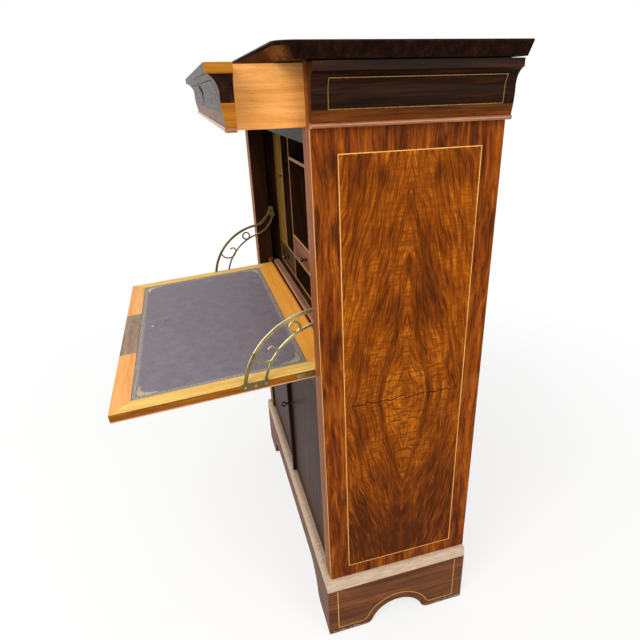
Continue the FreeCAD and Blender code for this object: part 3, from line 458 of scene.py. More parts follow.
def backBoards(add, s):  # pine boards side by side, each of its own tone, with open joints
    colour, height, look = woodGrain(add, pineLook)
    across = add("SeparateXYZ", add("TexCoord", give="Object"), give="X")
    board = add("Math DIVIDE", across, s["width"] * mm)
    tone = add("TexWhiteNoise", add("Math FLOOR", board), noise_dimensions="1D")
    tone = add("MapRange", tone, 0, 1, 0, s["toneShare"])
    colour = add("Mix RGBA", tone, colour, s["toneColour"], **darken)
    inBoard = add("Math PINGPONG", board, 0.5)
    joint = add("Math LESS_THAN", inBoard, s["joint"] / s["width"] / 2)
    colour = add("Mix RGBA", joint, colour, s["jointColour"])
    return colour, add("Math SUBTRACT", height, joint), look


makeWood("backPineBoards", "back_panel", backBoards, boardSettings)
makeWood("agedPineUpright", "plinth_blocks", woodGrain, pineLook)
makeWood("agedPineLevel", "plinth_back cupboard_floor cupboard_shelf dividing_board dust_board",
         woodGrain, pineLook, grain="x")
makeWood("agedPineDeep", "shelf_bearers", woodGrain, pineLook, grain="y", bandMm=11)
print("plinth and carcass finished")


# Frieze drawer and fitted inside: the insides of the cases are drawn dark as painted shade, with lighter
# front edges where the light reaches
edgeLook = {**walnutLook, "stops": ("#6E4A2A", "#94683E", "#B08856")}
# the inner doors' maple is drawn dark olive-gold as painted shade
shadedMapleLook = {**walnutLook, "stops": ("#4C3610", "#6C4E1A", "#866626", "#9C7C38"), "bandMm": 10}
redStops = ("#3C180C", "#66301A", "#824826", "#985C36")
# the side drawers' olive walnut is drawn dark as painted shade
shadedOliveStops = ("#20140A", "#38260F", "#503818", "#664A24")
makeWood("drawerOak", "frieze_drawer_box frieze_drawer_bottom", woodGrain, bareLook, grain="y", bandMm=12)
makeWood("innerUprights", "fitment_case fitment_partitions", frontEdged, edgeLook, shadedInnerLook)
makeWood("innerShelves", "fitment_shelves", frontEdged, edgeLook, shadedInnerLook, grain="x")
makeWood("innerDoorMaple", namesWith("_inner_door"), woodGrain, shadedMapleLook)
makeWood("redWalnut", "centre_drawer_front", woodGrain, walnutLook, stops=redStops, grain="x")
makeWood("oliveWalnutPaintedShade", "left_drawer_front right_drawer_front", woodGrain, walnutLook, stops=shadedOliveStops,
         grain="x")
makeWood("trayPine", namesWith("_tray"), woodGrain, pineLook, grain="y")
makeWood("turnedEbony", namesWith("_knob"), woodGrain, ebonisedLook, grain="y", bandMm=4, shine=0.4)
deskSettings = {"lipping": 16, "stops": ("#7C5440", "#9C7058", "#B0846A", "#BC947C")}


def deskFloor(add, s):  # a beech lipping in front of a floor drawn dark as painted shade
    lipping, height, look = woodGrain(add, walnutLook, stops=s["stops"], grain="x")
    floor = woodGrain(add, shadedInnerLook, grain="x")[0]
    depth = add("SeparateXYZ", add("TexCoord", give="Object"), give="Y")
    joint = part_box("desk_floor")[0].y + s["lipping"] * mm
    return add("Mix RGBA", add("Math GREATER_THAN", depth, joint), lipping, floor), height, look


makeWood("lippedDeskFloor", "desk_floor", deskFloor, deskSettings)
print("drawers and fitted inside finished")


# Fall: golden satinwood borders, orange edge, a plainer outside
fallPivot = Vector(next(joint for joint in frame["joints"] if joint["name"] == "fall_swing")["pos_m"])
fallSettings = {
    "sag": 3.66, "halfWidth": 393.0, "reach": 461.75, "rise": 9.25,  # degrees and mm from the pivot, as built
    "sideMargin": 40.0, "backMargin": 57.0, "frontMargin": 40.0,
    "sideStops": ("#E0A852", "#F0C468", "#F8D47C", "#FCDE94"),
    # the back strip is drawn brighter as painted light against the case's shade
    "backStops": ("#E89030", "#FFAA42", "#FFB850", "#FFC86E"),
    "glue": (0.03, 0.005, 0, 0.5), "glueColour": "#7A4A1C",  # from and to, shares of a margin, and its depth
    "edgeSpan": (0.7, 0.4), "edgeLine": 2.6, "edgeLineColour": "#C08C68",
}
satinLook = {
    **walnutLook, "stops": ("#DA924A", "#F4AC62", "#FCBC72", "#FFCE90"), "grain": "x", "bandMm": 13,
    "rough": (0.40, 0.52), "poreColour": "#A06020", "poreDepth": 0.3,
}
fallEdgeLook = {**bareLook, "stops": ("#5E340C", "#7E4A12", "#92581A", "#A66A26"), "grain": "y", "bandMm": 5}
outsideLook = {
    **borderLook, "grain": "y",
    "stops": ((0.28, "#2E1408"), (0.44, "#5C2A0C"), (0.58, "#84420F"), (0.76, "#A8601C")),
}
patchLook = {
    **walnutLook, "stops": ("#7E6450", "#9C826E", "#B0967F", "#BCA48E"), "grain": "x",
    "waveDepthMm": 50, "waveMm": 50, "rough": (0.5, 0.62),
}
# the fall's own space: x to the right, y towards its hinge, z out of the writing face
fallSpace = Matrix.Translation(fallPivot) @ Matrix.Rotation(math.radians(fallSettings["sag"]), 4, "X")


def fallBorders(add, s):  # satinwood strips, each with its grain along itself
    across, height, look = woodGrain(add, satinLook)
    deep = woodGrain(add, look, stops=s["sideStops"], grain="y")[0]
    # the back strip's brighter colours are painted light
    back = woodGrain(add, look, stops=s["backStops"])[0]
    place = add("TexCoord").node.outputs
    split = add("SeparateXYZ", add("Mapping", place["Object"], -fallPivot * 1000, None, toMm)).node.outputs
    fromSide = add("Math SUBTRACT", s["halfWidth"], add("Math ABSOLUTE", split["X"]))
    fromSide = add("Math DIVIDE", fromSide, s["sideMargin"])
    gaps = []
    for edge, sign, margin in ((s["reach"], 1, s["frontMargin"]), (s["rise"], -1, s["backMargin"])):
        gaps.append(add("Math DIVIDE", add("Math MULTIPLY_ADD", split["Y"], sign, edge), margin))
    fromEnd = add("Math MINIMUM", *gaps)
    isBack = add("Math GREATER_THAN", split["Y"], -s["reach"] / 2)
    across = add("Mix RGBA", isBack, across, back)
    colour = add("Mix RGBA", add("Math LESS_THAN", fromSide, fromEnd), across, deep)
    # a dark line of glue at each mitre
    off = add("Math ABSOLUTE", add("Math SUBTRACT", fromSide, fromEnd))
    colour = add("Mix RGBA", add("MapRange", off, *s["glue"]), colour, s["glueColour"])
    # the outer edges are browner than the writing face
    edge = add("MapRange", add("SeparateXYZ", place["Normal"], give="Z"), *s["edgeSpan"])
    return add("Mix RGBA", edge, colour, woodGrain(add, fallEdgeLook)[0]), height, look


def fallBoard(add, s):  # veneered outside; a pink line along the edges next to the outside face
    outside, height, look = woodGrain(add, outsideLook)
    edges = woodGrain(add, fallEdgeLook)[0]
    place = add("TexCoord").node.outputs
    outWay = fallSpace.to_3x3() @ Vector((0, 0, -1))
    depth = add("VectorMath DOT_PRODUCT", place["Object"], outWay)
    lineStart = fallPivot.dot(outWay) + (s["rise"] - s["edgeLine"]) * mm
    edges = add("Mix RGBA", add("Math GREATER_THAN", depth, lineStart), edges, s["edgeLineColour"])
    facing = add("VectorMath DOT_PRODUCT", place["Normal"], outWay)
    return add("Mix RGBA", add("MapRange", facing, *faceSpan), edges, outside), height, look


makeWood("satinwoodBorders", "fall_borders", fallBorders, fallSettings)
makeWood("fallBoardVeneer", "fall_board", fallBoard, fallSettings)
makeWood("wornPatchWalnut", "fall_lock_patch", woodGrain, patchLook)
print("fall finished")


# Metals: cast and filed, once polished, now dulled in soft patches
brassSettings = {"colours": ("#64583A", "#8A7A50", "#AA9A68"), "patchMm": 45, "rough": (0.40, 0.26)}
keySettings = {"colours": ("#221C16", "#3A3226", "#5A5038"), "patchMm": 9, "rough": (0.52, 0.34)}
steelSettings = {"colours": ("#4C4843", "#6A665F", "#8A8880"), "patchMm": 25, "rough": (0.60, 0.38)}
staySettings = {
    **brassSettings, "rough": (0.50, 0.36),
    "wearAndHighlight": "#FFF0C4", "upperHighlight": (0.1, 0.4, 0, 0.85),  # painted highlight on the upper edges
    "foot": (60, 14), "footColour": "#62502C", "footShare": 0.85,  # from and to, mm above the fall's pivot
}
metalPlaces = (0.30, 0.45, 0.62)
metalSpan = (0.35, 0.65)
markScale = 900  # to a metre: file marks near 1 mm
markDepth = {"Strength": 0.06, "Distance": 0.3 * mm}


def oldMetal(name, s):  # bright where it is handled, browner where it has tarnished; the stays' upper edges get a painted highlight
    material, add, shader = newMaterial(name)
    coordinates = add("TexCoord").node.outputs
    place = coordinates["Object"]
    patches = add("TexNoise", place, 1000 / s["patchMm"], 3)
    colour = fillRamp(add("ValToRGB", patches), list(zip(metalPlaces, s["colours"])))
    if "wearAndHighlight" in s:
        # painted highlight on faces that look up
        upperHighlight = add("MapRange", add("SeparateXYZ", coordinates["Normal"], give="Z"), *s["upperHighlight"])
        colour = add("Mix RGBA", upperHighlight, colour, s["wearAndHighlight"])
        # the feet are drawn darker, towards the fall
        upWay = fallSpace.to_3x3() @ Vector((0, 0, 1))
        span = [fallPivot.dot(upWay) + height * mm for height in s["foot"]]
        foot = add("MapRange", add("VectorMath DOT_PRODUCT", place, upWay), *span, 0, s["footShare"])
        colour = add("Mix RGBA", foot, colour, s["footColour"])
    marks = add("TexNoise", place, markScale, 2)
    setInputs(shader, {
        "Base Color": colour, "Roughness": add("MapRange", patches, *metalSpan, *s["rough"]), "Metallic": 1.0,
        "Normal": add("Bump", **markDepth, Height=marks),
    })
    return material


brass = oldMetal("tarnishedBrass", brassSettings)
steel = oldMetal("dullSteel", steelSettings)
useMaterial(oldMetal("brassStaysPaintedHighlight", staySettings), namesWith("_stay"))
useMaterial(brass, "stay_studs fall_hinge_leaves pivot_pins")
useMaterial(oldMetal("blackenedBrass", keySettings), "door_key")
useMaterial(steel, namesWith("_lock", "_bolt"))
print("metals finished")


# New pieces
mitreLimit = 0.3  # keeps a strip's sharp corners short


def makePiece(name, fill, material, body):
    mesh = bpy.data.meshes.new(name)
    bm = bmesh.new()
    fill(bm)
    bmesh.ops.recalc_face_normals(bm, faces=bm.faces)
    bm.to_mesh(mesh)
    bm.free()
    mesh.materials.append(material)
    piece = bpy.data.objects.new(name, mesh)
    scene.collection.objects.link(piece)
    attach(piece, body)
    return piece


def evenSteps(start, span, count):
    return [start + span * i / count for i in range(count + 1)]


def addTube(bm, rings, closed=False):  # walls between rings, and ends where it is open
    rings = [[bm.verts.new(point) for point in ring] for ring in rings]
    count = len(rings)
    for i in range(count if closed else count - 1):
        here, there = rings[i], rings[(i + 1) % count]
        for j in range(len(here)):
            k = (j + 1) % len(here)
            bm.faces.new((here[j], there[j], there[k], here[k]))
    if not closed:
        bm.faces.new(rings[0])
        bm.faces.new(rings[-1])


def addRibbon(bm, points, width, spot, closed=True, low=-0.4, high=0.12):
    # a flat strip along a line of points; spot(a, b, height) places one, all in mm
    count = len(points)
    rings = []
    for i, point in enumerate(points):
        here = Vector(point)
        before = Vector(points[i - 1]) if closed or i else here
        after = Vector(points[(i + 1) % count]) if closed or i < count - 1 else here
        arms = [arm.normalized() for arm in (here - before, after - here) if arm.length > 0]
        normals = [Vector((-arm.y, arm.x)) for arm in arms]
        middle = sum(normals, Vector((0, 0))).normalized()
        offset = middle * (width / 2 / max(mitreLimit, middle.dot(normals[0])))
        corners = ((-1, low), (-1, high), (1, high), (1, low))
        rings.append([spot(*(here + offset * way), level) for way, level in corners])
    addTube(bm, rings, closed)


def addFrame(bm, outer, inner, spot, low=-0.4, high=0.2):  # a flat frame between two loops of as many points
    rings = []
    for out, inside in zip(outer, inner):
        corners = ((out, low), (out, high), (inside, high), (inside, low))
        rings.append([spot(*point, level) for point, level in corners])
    addTube(bm, rings, True)


def addPlate(bm, outline, spot, low=-0.3, high=0.06):  # a thin plate inside a line of points
    addTube(bm, [[spot(*point, level) for point in outline] for level in (low, high)])


def onArc(middle, radius, turns):
    return [(middle[0] + radius * math.cos(a), middle[1] + radius * math.sin(a)) for a in turns]


def roundAbout(middle, radius, count):
    return onArc(middle, radius, evenSteps(0, 2 * math.pi, count)[:-1])


def rectangle(low, high, foot, head):
    return [(low, foot), (high, foot), (high, head), (low, head)]


# Stringing: pale boxwood lines let into the veneer
boxLook = {**walnutLook, "stops": ("#B8803E", "#D49C50", "#E6B66C"), "bandMm": 6, "poreDepth": 0.15}
boxwood = makeWood("boxwoodStringing", "", woodGrain, boxLook)
# under the cornice's dark polish the same wood is browner
darkBoxwood = makeWood("darkenedBoxwood", "", woodGrain, boxLook, stops=("#6A4A24", "#8A6634", "#A4804A"))
stringSettings = {
    "sideWidth": 1.9, "friezeWidth": 1.2, "drawerWidth": 0.8, "plinthWidth": 1.6,
    "arrisWidth": 0.9, "arrisProud": 0.12,
    "friezeRectangle": (28.5, 349.0, 1286.0, 1332.0), "drawerHalf": 416.0, "endSteps": 14,
    "friezeProfile": ((1266, 16.0), (1277, 18.7), (1288, 20.7), (1299, 21.7), (1310, 22.0), (1317, 22.8),
                      (1324, 25.0), (1330, 28.5), (1334, 31.5)),  # height and projection, mm
    "plinthFoot": 18.0, "plinthHead": 154.0, "plinthEnds": (13.0, 343.0), "plinthFace": 13.0,
    "archCurve": ((99, 18), (91, 20.5), (86, 26), (81.5, 34.5), (76, 44), (69, 54), (61, 61.5), (49, 70),
                  (35, 77.5), (22, 82.5), (9, 85)),  # half of the line over the arch: from its middle, and up
    "archMiddle": 179.0, "archTop": 85.6,
}


def friezeOut(z):  # how far the cornice stands out of the case at a height
    profile = stringSettings["friezeProfile"]
    for (lowZ, lowOut), (highZ, highOut) in zip(profile, profile[1:]):
        if z <= highZ:
            return lowOut + (highOut - lowOut) * (z - lowZ) / (highZ - lowZ)
    return profile[-1][1]


def friezeLoop(low, high):  # a rectangle with enough points up its ends to follow the cornice
    foot, head = stringSettings["friezeRectangle"][2:]
    steps = evenSteps(foot, head - foot, stringSettings["endSteps"])
    return [(low, z) for z in reversed(steps)] + [(high, z) for z in steps]


def plinthLine():
    s = stringSettings
    first, last = s["plinthEnds"]
    rise = [(s["archMiddle"] - away, z) for away, z in s["archCurve"]]
    fall = [(s["archMiddle"] + away, z) for away, z in reversed(s["archCurve"])]
    arch = rise + [(s["archMiddle"], s["archTop"])] + fall
    foot, head = s["plinthFoot"], s["plinthHead"]
    return [(first, head), (first, foot)] + arch + [(last, foot), (last, head)]


def onCase(side, face, y, z, out):  # a point over a face that stands out from the case's side
    return (side * (caseSide + (face + out) * mm), postFront + y * mm, z * mm)


def fillSideStringing(bm):
    s = stringSettings
    for side in sides:
        addRibbon(bm, rectangle(*veneerSettings["field"]), s["sideWidth"], partial(onCase, side, 0))
        onPlinth = partial(onCase, side, s["plinthFace"])
        addRibbon(bm, plinthLine(), s["plinthWidth"], onPlinth, closed=False)


def fillFriezeStringing(bm):
    loop = friezeLoop(*stringSettings["friezeRectangle"][:2])
    for side in sides:
        def onFrieze(y, z, out):
            return onCase(side, friezeOut(z), y, z, out)
        addRibbon(bm, loop, stringSettings["friezeWidth"], onFrieze)


def onDrawer(x, z, out):
    return (x * mm, drawerBack - (friezeOut(z) + out) * mm, z * mm)


def fillDrawerStringing(bm):
    half = stringSettings["drawerHalf"]
    addRibbon(bm, friezeLoop(-half, half), stringSettings["drawerWidth"], onDrawer)


def fillArrisStringing(bm):  # a line on both front corners of each post
    proud, width = stringSettings["arrisProud"] * mm, stringSettings["arrisWidth"] * mm
    low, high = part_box("right_post")
    corner = [(proud, width), (proud, 0), (0, -proud), (-width, -proud), (-width, width)]
    for side in sides:
        for edge, way in ((high.x, 1), (low.x, -1)):
            line = [(side * (edge + way * x), postFront + y) for x, y in corner]
            addTube(bm, [[(*point, z) for point in line] for z in (low.z + mm / 2, high.z - mm / 2)])


makePiece("side_stringing", fillSideStringing, boxwood, "carcass")
makePiece("frieze_stringing", fillFriezeStringing, darkBoxwood, "carcass")
makePiece("drawer_stringing", fillDrawerStringing, darkBoxwood, "frieze_drawer")
makePiece("arris_stringing", fillArrisStringing, boxwood, "carcass")
print("stringing let in")


# Astragal: a black bead up the right door's meeting edge, which covers the joint; its black also stands for
# painted shade on its side
astragalSettings = {"width": 12.0, "proud": 11.0, "sink": 0.5, "endGap": 3.0, "points": 12}  # mm


def fillAstragal(bm):  # a half round on short straight sides
    s = astragalSettings
    low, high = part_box("right_door")
    half = s["width"] / 2
    turns = evenSteps(0, math.pi, s["points"])
    outline = [(half - half * math.cos(a), s["proud"] - half + half * math.sin(a)) for a in turns]
    outline = [(0, -s["sink"])] + outline + [(s["width"], -s["sink"])]
    ends = (low.z + s["endGap"] * mm, high.z - s["endGap"] * mm)
    addTube(bm, [[(low.x + x * mm, low.y - out * mm, z) for x, out in outline] for z in ends])


astragalShadeBlack = makeWood("astragalPaintedShade", "", woodGrain, ebonisedLook)
makePiece("door_astragal", fillAstragal, astragalShadeBlack, "right_door")
print("astragal fixed")


# Escutcheons: an ebony oval round the drawer's keyhole, a brass thread in the door's
escutcheonSettings = {
    "drawerKeyhole": (2.0, 1302.0, 1324.0),  # half width, foot and head, mm
    "ovalHalf": (13.0, 20.5), "points": 36,
    "doorKeyhole": (3.4, 1.6, 10.0), "thread": 1.4, "steps": 20,  # radius, half of the slot and its drop, mm
    "keyBow": 8.0,  # outer radius of the key's bow, mm
}


def fillDrawerEscutcheon(bm):
    s = escutcheonSettings
    half, foot, head = s["drawerKeyhole"]
    middle = (foot + head) / 2
    outer, inner = [], []
    for i in range(s["points"]):
        a = 2 * math.pi * (i + 0.5) / s["points"]
        outer.append((s["ovalHalf"][0] * math.cos(a), middle + s["ovalHalf"][1] * math.sin(a)))
        reach = min(half / max(1e-6, abs(math.cos(a))), (head - foot) / 2 / max(1e-6, abs(math.sin(a))))
        inner.append((reach * math.cos(a), middle + reach * math.sin(a)))
    addFrame(bm, outer, inner, onDrawer)


def fillDoorEscutcheon(bm):
    s = escutcheonSettings
    radius, half, drop = s["doorKeyhole"]
    keyLow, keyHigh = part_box("door_key")
    middle, axis = (keyLow.x + keyHigh.x) / 2, keyHigh.z - s["keyBow"] * mm  # the key turns in the keyhole
    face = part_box("right_door")[0].y
    loops = []
    for grow in (s["thread"], 0.0):
        start = math.asin((half + grow) / (radius + grow))
        arc = evenSteps(-math.pi / 2 + start, 2 * math.pi - 2 * start, s["steps"])
        loop = onArc((0, 0), radius + grow, arc)
        loops.append(loop + [(-half - grow, -drop - grow), (half + grow, -drop - grow)])

    def onDoor(x, z, out):
        return (middle + x * mm, face - out * mm, axis + z * mm)
    addFrame(bm, *loops, onDoor, low=-0.8, high=0.3)


# Ebony: black and matt beside the polish round it
ebonyLook = {
    **ebonisedLook, "stops": ((0.3, "#080505"), (0.5, "#120C0A"), (0.7, "#1E1612")), "bandMm": 5,
    "shine": 0.0, "coat": 0.0,
}
ebony = makeWood("ebonyEscutcheon", "", woodGrain, ebonyLook)
makePiece("drawer_escutcheon", fillDrawerEscutcheon, ebony, "frieze_drawer")
makePiece("door_escutcheon", fillDoorEscutcheon, brass, "right_door")
print("escutcheons set")


# Writing leather: one skin let into the fall, with a gilt tooled border
leatherSettings = {
    # mm in the fall's own space
    "halfWidth": 353.0, "back": -47.75, "front": -421.75, "under": 7.65, "thickness": 1.2,
    "cells": (96, 52), "ripple": 0.10, "settle": 7.0, "edgeDrop": 2.2,
    "colours": ((0.28, "#6A606A"), (0.46, "#786E77"), (0.58, "#817780"), (0.76, "#8E848C")),
    "wearAndHighlight": (34, 7, 0.75), "rough": (0.52, 0.72),  # paler places: how many to a metre, detail, its strength
    "grainMm": 2.4,  # the real grain is near 0.8 mm and is drawn three times as coarse to show
    "pebbling": {"Strength": 0.35, "Distance": 0.4 * mm},
    "creases": (0.25, 0.75, 0, 0.22), "creaseColour": "#4A4048", "nickSpan": (1.0, 0.6, 0, 0.85),
    "nicks": (  # middle, half width, half depth and colour of each tear
        (-21, -388, 4, 5, "#D8D4D0"), (-25, -380, 4, 6, "#2A2226"), (-46, -354, 4, 4, "#2A2226"),
        (-38, -354, 3, 4, "#2A2226"), (-31, -355, 2.5, 3, "#3A3236"), (-13, -356, 4, 3, "#3A3236"),
    ),
    "gilt": ((0.30, "#968C70"), (0.50, "#B4AA8A"), (0.70, "#CCC2A2")), "wear": (60, 5, 0.7),
    "lineInset": 2.8, "dotInset": 7.0, "innerInset": 11.2, "cornerRadius": 46.0, "cornerSteps": 12,
    "lineWidth": 1.0, "dotPitch": 4.6, "dotRadius": (2.1 * 0.7, 2.1), "dotSides": 6, "stepMm": 12,
    "leafAngles": ((7, 0.98), (24, 0.58), (45, 0.48), (66, 0.58), (83, 0.98)),  # turn, share of the radius
    "leafShape": ((0.12, 0.0), (0.35, 0.055), (0.60, 0.075), (0.85, 0.05), (1.0, 0.0)),  # along, half width
}


def leatherMaterial(s):  # dyed calf, dry and rubbed: matt, pebbled, with paler places and a few nicks
    material, add, shader = newMaterial("aubergineCalf")
    place = add("TexCoord", give="Object")
    wearAndHighlight = add("TexNoise", place, *s["wearAndHighlight"])
    colour = fillRamp(add("ValToRGB", wearAndHighlight), s["colours"])
    pebbles = add("TexVoronoi", place, 1000 / s["grainMm"], feature="SMOOTH_F1")
    colour = add("Mix RGBA", add("MapRange", pebbles, *s["creases"]), colour, s["creaseColour"], **darken)
    for x, y, halfWidth, halfDepth, shade in s["nicks"]:
        middle = fallSpace @ (Vector((x, y, s["under"] + s["thickness"])) * mm)
        size = Vector((1 / halfWidth, 1 / halfDepth, 1 / halfWidth)) / mm
        away = add("VectorMath LENGTH", add("VectorMath MULTIPLY_ADD", place, size, -middle * size))
        colour = add("Mix RGBA", add("MapRange", away, *s["nickSpan"]), colour, shade)
    setInputs(shader, {
        "Base Color": colour, "IOR": organicIor,
        "Roughness": add("MapRange", wearAndHighlight, *noiseSpan, *s["rough"]),
        "Normal": add("Bump", **s["pebbling"], invert=True, Height=pebbles),
    })
    return material


def leatherHeight(x, y):  # a skin glued down by hand is never quite flat
    s = leatherSettings
    # waves about 110 to 300 mm long
    ripple = math.sin(x * 0.021 + 0.6) * math.cos(y * 0.033) + 0.6 * math.sin(x * 0.047 - y * 0.029 + 1.4)
    edge = min(s["halfWidth"] - abs(x), s["back"] - y, y - s["front"])
    settle = min(1.0, max(0.0, edge / s["settle"]))
    return s["under"] + s["thickness"] + s["ripple"] * (ripple * settle - (1 - settle) * s["edgeDrop"])


def onLeather(x, y, out):
    return fallSpace @ (Vector((x, y, leatherHeight(x, y) + out)) * mm)


def fillLeather(bm):
    s = leatherSettings
    across, deep = s["cells"]
    xs = evenSteps(-s["halfWidth"], 2 * s["halfWidth"], across)
    ys = evenSteps(s["front"], s["back"] - s["front"], deep)
    top = [[bm.verts.new(onLeather(x, y, 0)) for x in xs] for y in ys]
    under = [[bm.verts.new(fallSpace @ (Vector((x, y, s["under"])) * mm)) for x in xs] for y in ys]
    for grid in (top, under):
        for j in range(deep):
            for i in range(across):
                bm.faces.new((grid[j][i], grid[j][i + 1], grid[j + 1][i + 1], grid[j + 1][i]))
    rim = [(0, i) for i in range(across)] + [(j, across) for j in range(deep)]
    rim += [(deep, i) for i in range(across, 0, -1)] + [(j, 0) for j in range(deep, 0, -1)]
    for (ja, ia), (jb, ib) in zip(rim, rim[1:] + rim[:1]):
        bm.faces.new((top[ja][ia], top[jb][ib], under[jb][ib], under[ja][ia]))


def stepsAlong(corners, pitch):  # even points round a closed line
    line = []
    for start, end in zip(corners, corners[1:] + corners[:1]):
        steps = max(1, round(math.dist(start, end) / pitch))
        line += [tuple(a + (b - a) * i / steps for a, b in zip(start, end)) for i in range(steps)]
    return line


def insetCorners(inset):
    s = leatherSettings
    return rectangle(-s["halfWidth"] + inset, s["halfWidth"] - inset, s["front"] + inset, s["back"] - inset)


def addFillet(bm, corners):  # a gilt line round the skin
    s = leatherSettings
    addRibbon(bm, stepsAlong(corners, s["stepMm"]), s["lineWidth"], onLeather, low=-0.3, high=0.06)


def fillTooling(bm):  # a fillet, a row of dots, an inner fillet with round corners, and leaves in each corner
    s = leatherSettings
    addFillet(bm, insetCorners(s["lineInset"]))
    for i, middle in enumerate(stepsAlong(insetCorners(s["dotInset"]), s["dotPitch"])):
        addPlate(bm, roundAbout(middle, s["dotRadius"][i % 2], s["dotSides"]), onLeather)
    radius = s["cornerRadius"]
    rounded = []
    for number, (x, y) in enumerate(insetCorners(s["innerInset"])):
        inX, inY = (1 if x < 0 else -1), (1 if number < 2 else -1)
        middle = (x + inX * radius, y + inY * radius)
        start = math.pi + number * math.pi / 2
        rounded += onArc(middle, radius, evenSteps(start, math.pi / 2, s["cornerSteps"]))
        for angle, share in s["leafAngles"]:
            cos, sin = math.cos(math.radians(angle)), math.sin(math.radians(angle))
            reach = radius * share
            half = [(reach * a, radius * b) for a, b in s["leafShape"]]
            leaf = half + [(a, -b) for a, b in reversed(half[1:-1])]
            spots = [(a * cos - b * sin, a * sin + b * cos) for a, b in leaf]
            addPlate(bm, [(x + inX * a, y + inY * b) for a, b in spots], onLeather)
    addFillet(bm, rounded)


def giltMaterial(s):  # gold leaf pressed into the skin, mostly worn to a pale grey
    material, add, shader = newMaterial("wornGilt")
    worn = add("TexNoise", add("TexCoord", give="Object"), *s["wear"])
    setInputs(shader, {"Base Color": fillRamp(add("ValToRGB", worn), s["gilt"]), "Roughness": 0.5})
    return material


calf = leatherMaterial(leatherSettings)
leather = makePiece("writing_leather_skin", fillLeather, calf, "fall")
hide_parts("writing_leather")
gilt = giltMaterial(leatherSettings)
tooling = makePiece("leather_tooling", fillTooling, gilt, "fall")
print("leather laid")


# Screws: slotted countersunk brass heads, flush in the stays' feet and the hinge leaves
screwSettings = {
    "slot": 0.45, "proud": 0.25, "sink": 0.5, "floor": 0.12,  # mm, half of the slot's width first
    "rimShare": 0.9, "slotSine": 0.3, "discShare": 0.98, "segments": 20, "turn": (0.5, 1.1),
    # forward of the pivot, up and radius, mm
    "fall": ((147, 1.5, 3.0), (169, 1.5, 3.0), (191, 1.5, 3.0), (22, 0, 2.6), (46, 0, 2.6), (70, 0, 2.6)),
}


def addScrew(bm, middle, out, radius, angle):  # two lands with a slot between them, on a lower disc
    s = screwSettings
    turn = out.to_track_quat("Z", "Y").to_matrix().to_4x4() @ Matrix.Rotation(angle, 4, "Z")
    space = Matrix.Translation(middle) @ turn

    def inHead(x, y, level):
        return space @ (Vector((x, y, level)) * mm)
    start = math.asin(s["slot"] / radius)
    for side in (0, 1):
        arc = [a + math.pi * side for a in evenSteps(start, math.pi - 2 * start, s["segments"])]
        rings = []
        for level, share in ((-s["sink"], 1), (s["proud"] / 2, 1), (s["proud"], s["rimShare"])):
            ring = []
            for a in arc:
                rise = share if abs(math.sin(a)) > s["slotSine"] else 1  # the rim stays off the slot's ends
                ring.append(inHead(radius * share * math.cos(a), radius * rise * math.sin(a), level))
            rings.append(ring)
        addTube(bm, rings)
    disc = roundAbout((0, 0), radius * s["discShare"], s["segments"])
    addTube(bm, [[inHead(*point, level) for point in disc] for level in (-s["sink"], -s["floor"])])


def fillFallScrews(bm):
    first, step = screwSettings["turn"]
    for side in sides:
        for number, (forward, rise, radius) in enumerate(screwSettings["fall"]):
            spot = fallSpace @ (Vector((side * fallSettings["halfWidth"], -forward, rise)) * mm)
            addScrew(bm, spot, Vector((side, 0, 0)), radius, first + number * step)


makePiece("fall_screws", fillFallScrews, brass, "fall")
print("screws set")


# Soft arrises on the pieces; a tool never leaves them dead sharp
arrisSettings = {  # width in mm
    1.2: "plinth_front plinth_sides desk_floor",
    1.0: "left_post right_post left_door right_door",
    0.8: "upper_rail middle_rail frieze_drawer_box",
    0.7: "centre_drawer_front left_drawer_front right_drawer_front",
    0.6: "fitment_case fitment_partitions fitment_shelves left_inner_door right_inner_door",
    0.5: "left_stay right_stay",
}
arrisAngle = math.radians(40)  # an edge that turns less stays as it is
arrisWeld = 0.01 * mm  # joins the corners that faces share


def softenArris(name, width):
    node = nodes[name]
    weld = node.modifiers.new("weld", "WELD")
    weld.merge_threshold = arrisWeld
    bevel = node.modifiers.new("arris", "BEVEL")
    bevel.width = width * mm
    bevel.segments = 2
    bevel.limit_method = "ANGLE"
    bevel.angle_limit = arrisAngle
    bevel.harden_normals = True


for width, pieces in arrisSettings.items():
    for name in pieces.split():
        softenArris(name, width)
print("arrises softened")


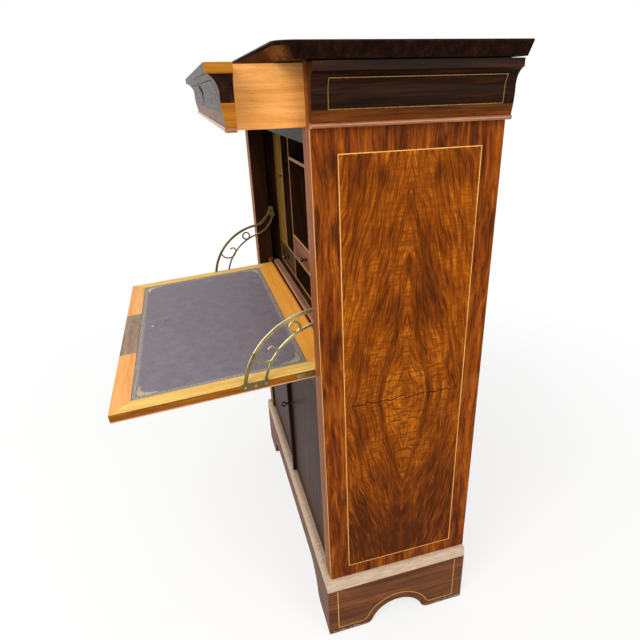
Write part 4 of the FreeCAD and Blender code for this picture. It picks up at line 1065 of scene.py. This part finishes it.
# Stage: white floor and surround, soft studio lights
lightSettings = {
    "world": 0.55, "floorColour": "#F6F5F3", "floorHalf": 14, "floorDrop": 0.0005, "aim": (0, 0, 0.75),
    "paper": (0.9, 2.4, 0.72, 1.0),  # from and to, metres, and the share of plain white there
    "lamps": (
        ("keyLamp", (2.6, -2.6, 3.2), 2.6, 120),  # name, place in metres, size in metres, watts
        ("sideLamp", (3.6, 1.6, 2.2), 2.4, 60),
        ("frontLamp", (-2.2, -3.0, 2.0), 2.4, 40),
    ),
}


def seenDirectly(add):  # 1 for the camera and for what mirrors and glass show
    path = add("LightPath").node.outputs
    seen = add("Math MAXIMUM", path["Is Camera Ray"], path["Is Glossy Ray"])
    return add("Math MAXIMUM", seen, path["Is Transmission Ray"])


def makeFloor(s):  # matt white paper: its own shade near the object, plain white far off
    bm = bmesh.new()
    bmesh.ops.create_grid(bm, x_segments=2, y_segments=2, size=s["floorHalf"])
    mesh = bpy.data.meshes.new("studioFloor")
    bm.to_mesh(mesh)
    bm.free()
    floor = bpy.data.objects.new("studioFloor", mesh)
    floor.location.z = -s["floorDrop"]
    scene.collection.objects.link(floor)
    material, add, shader = newMaterial("studioPaper")
    setInputs(shader, {"Base Color": s["floorColour"], "Roughness": 0.9})
    away = add("VectorMath LENGTH", add("TexCoord", give="Object"))
    white = add("MapRange", away, *s["paper"], **smooth)
    share = add("Math MULTIPLY", seenDirectly(add), white)
    paper = add("Emission", Color=(1, 1, 1, 1), Strength=1.0)
    mixed = add("MixShader", share, shader.outputs[0], paper)
    setInputs(material.node_tree.nodes["Material Output"], {"Surface": mixed})
    mesh.materials.append(material)


def makeStage(s):
    makeFloor(s)
    world = bpy.data.worlds.new("studioWorld")
    scene.world = world
    world.use_nodes = True
    add = partial(addNode, world.node_tree)
    strength = add("MapRange", seenDirectly(add), 0, 1, s["world"], 1.0)
    setInputs(world.node_tree.nodes["Background"], {"Strength": strength, "Color": (1, 1, 1, 1)})
    for name, place, size, watts in s["lamps"]:
        data = bpy.data.lights.new(name, "AREA")
        data.shape = "DISK"
        data.size = size
        data.energy = watts
        lamp = bpy.data.objects.new(name, data)
        lamp.location = place
        lamp.rotation_euler = (Vector(s["aim"]) - Vector(place)).to_track_quat("-Z", "Y").to_euler()
        scene.collection.objects.link(lamp)
    scene.view_settings.view_transform = "Standard"


makeStage(lightSettings)
print("stage lit")
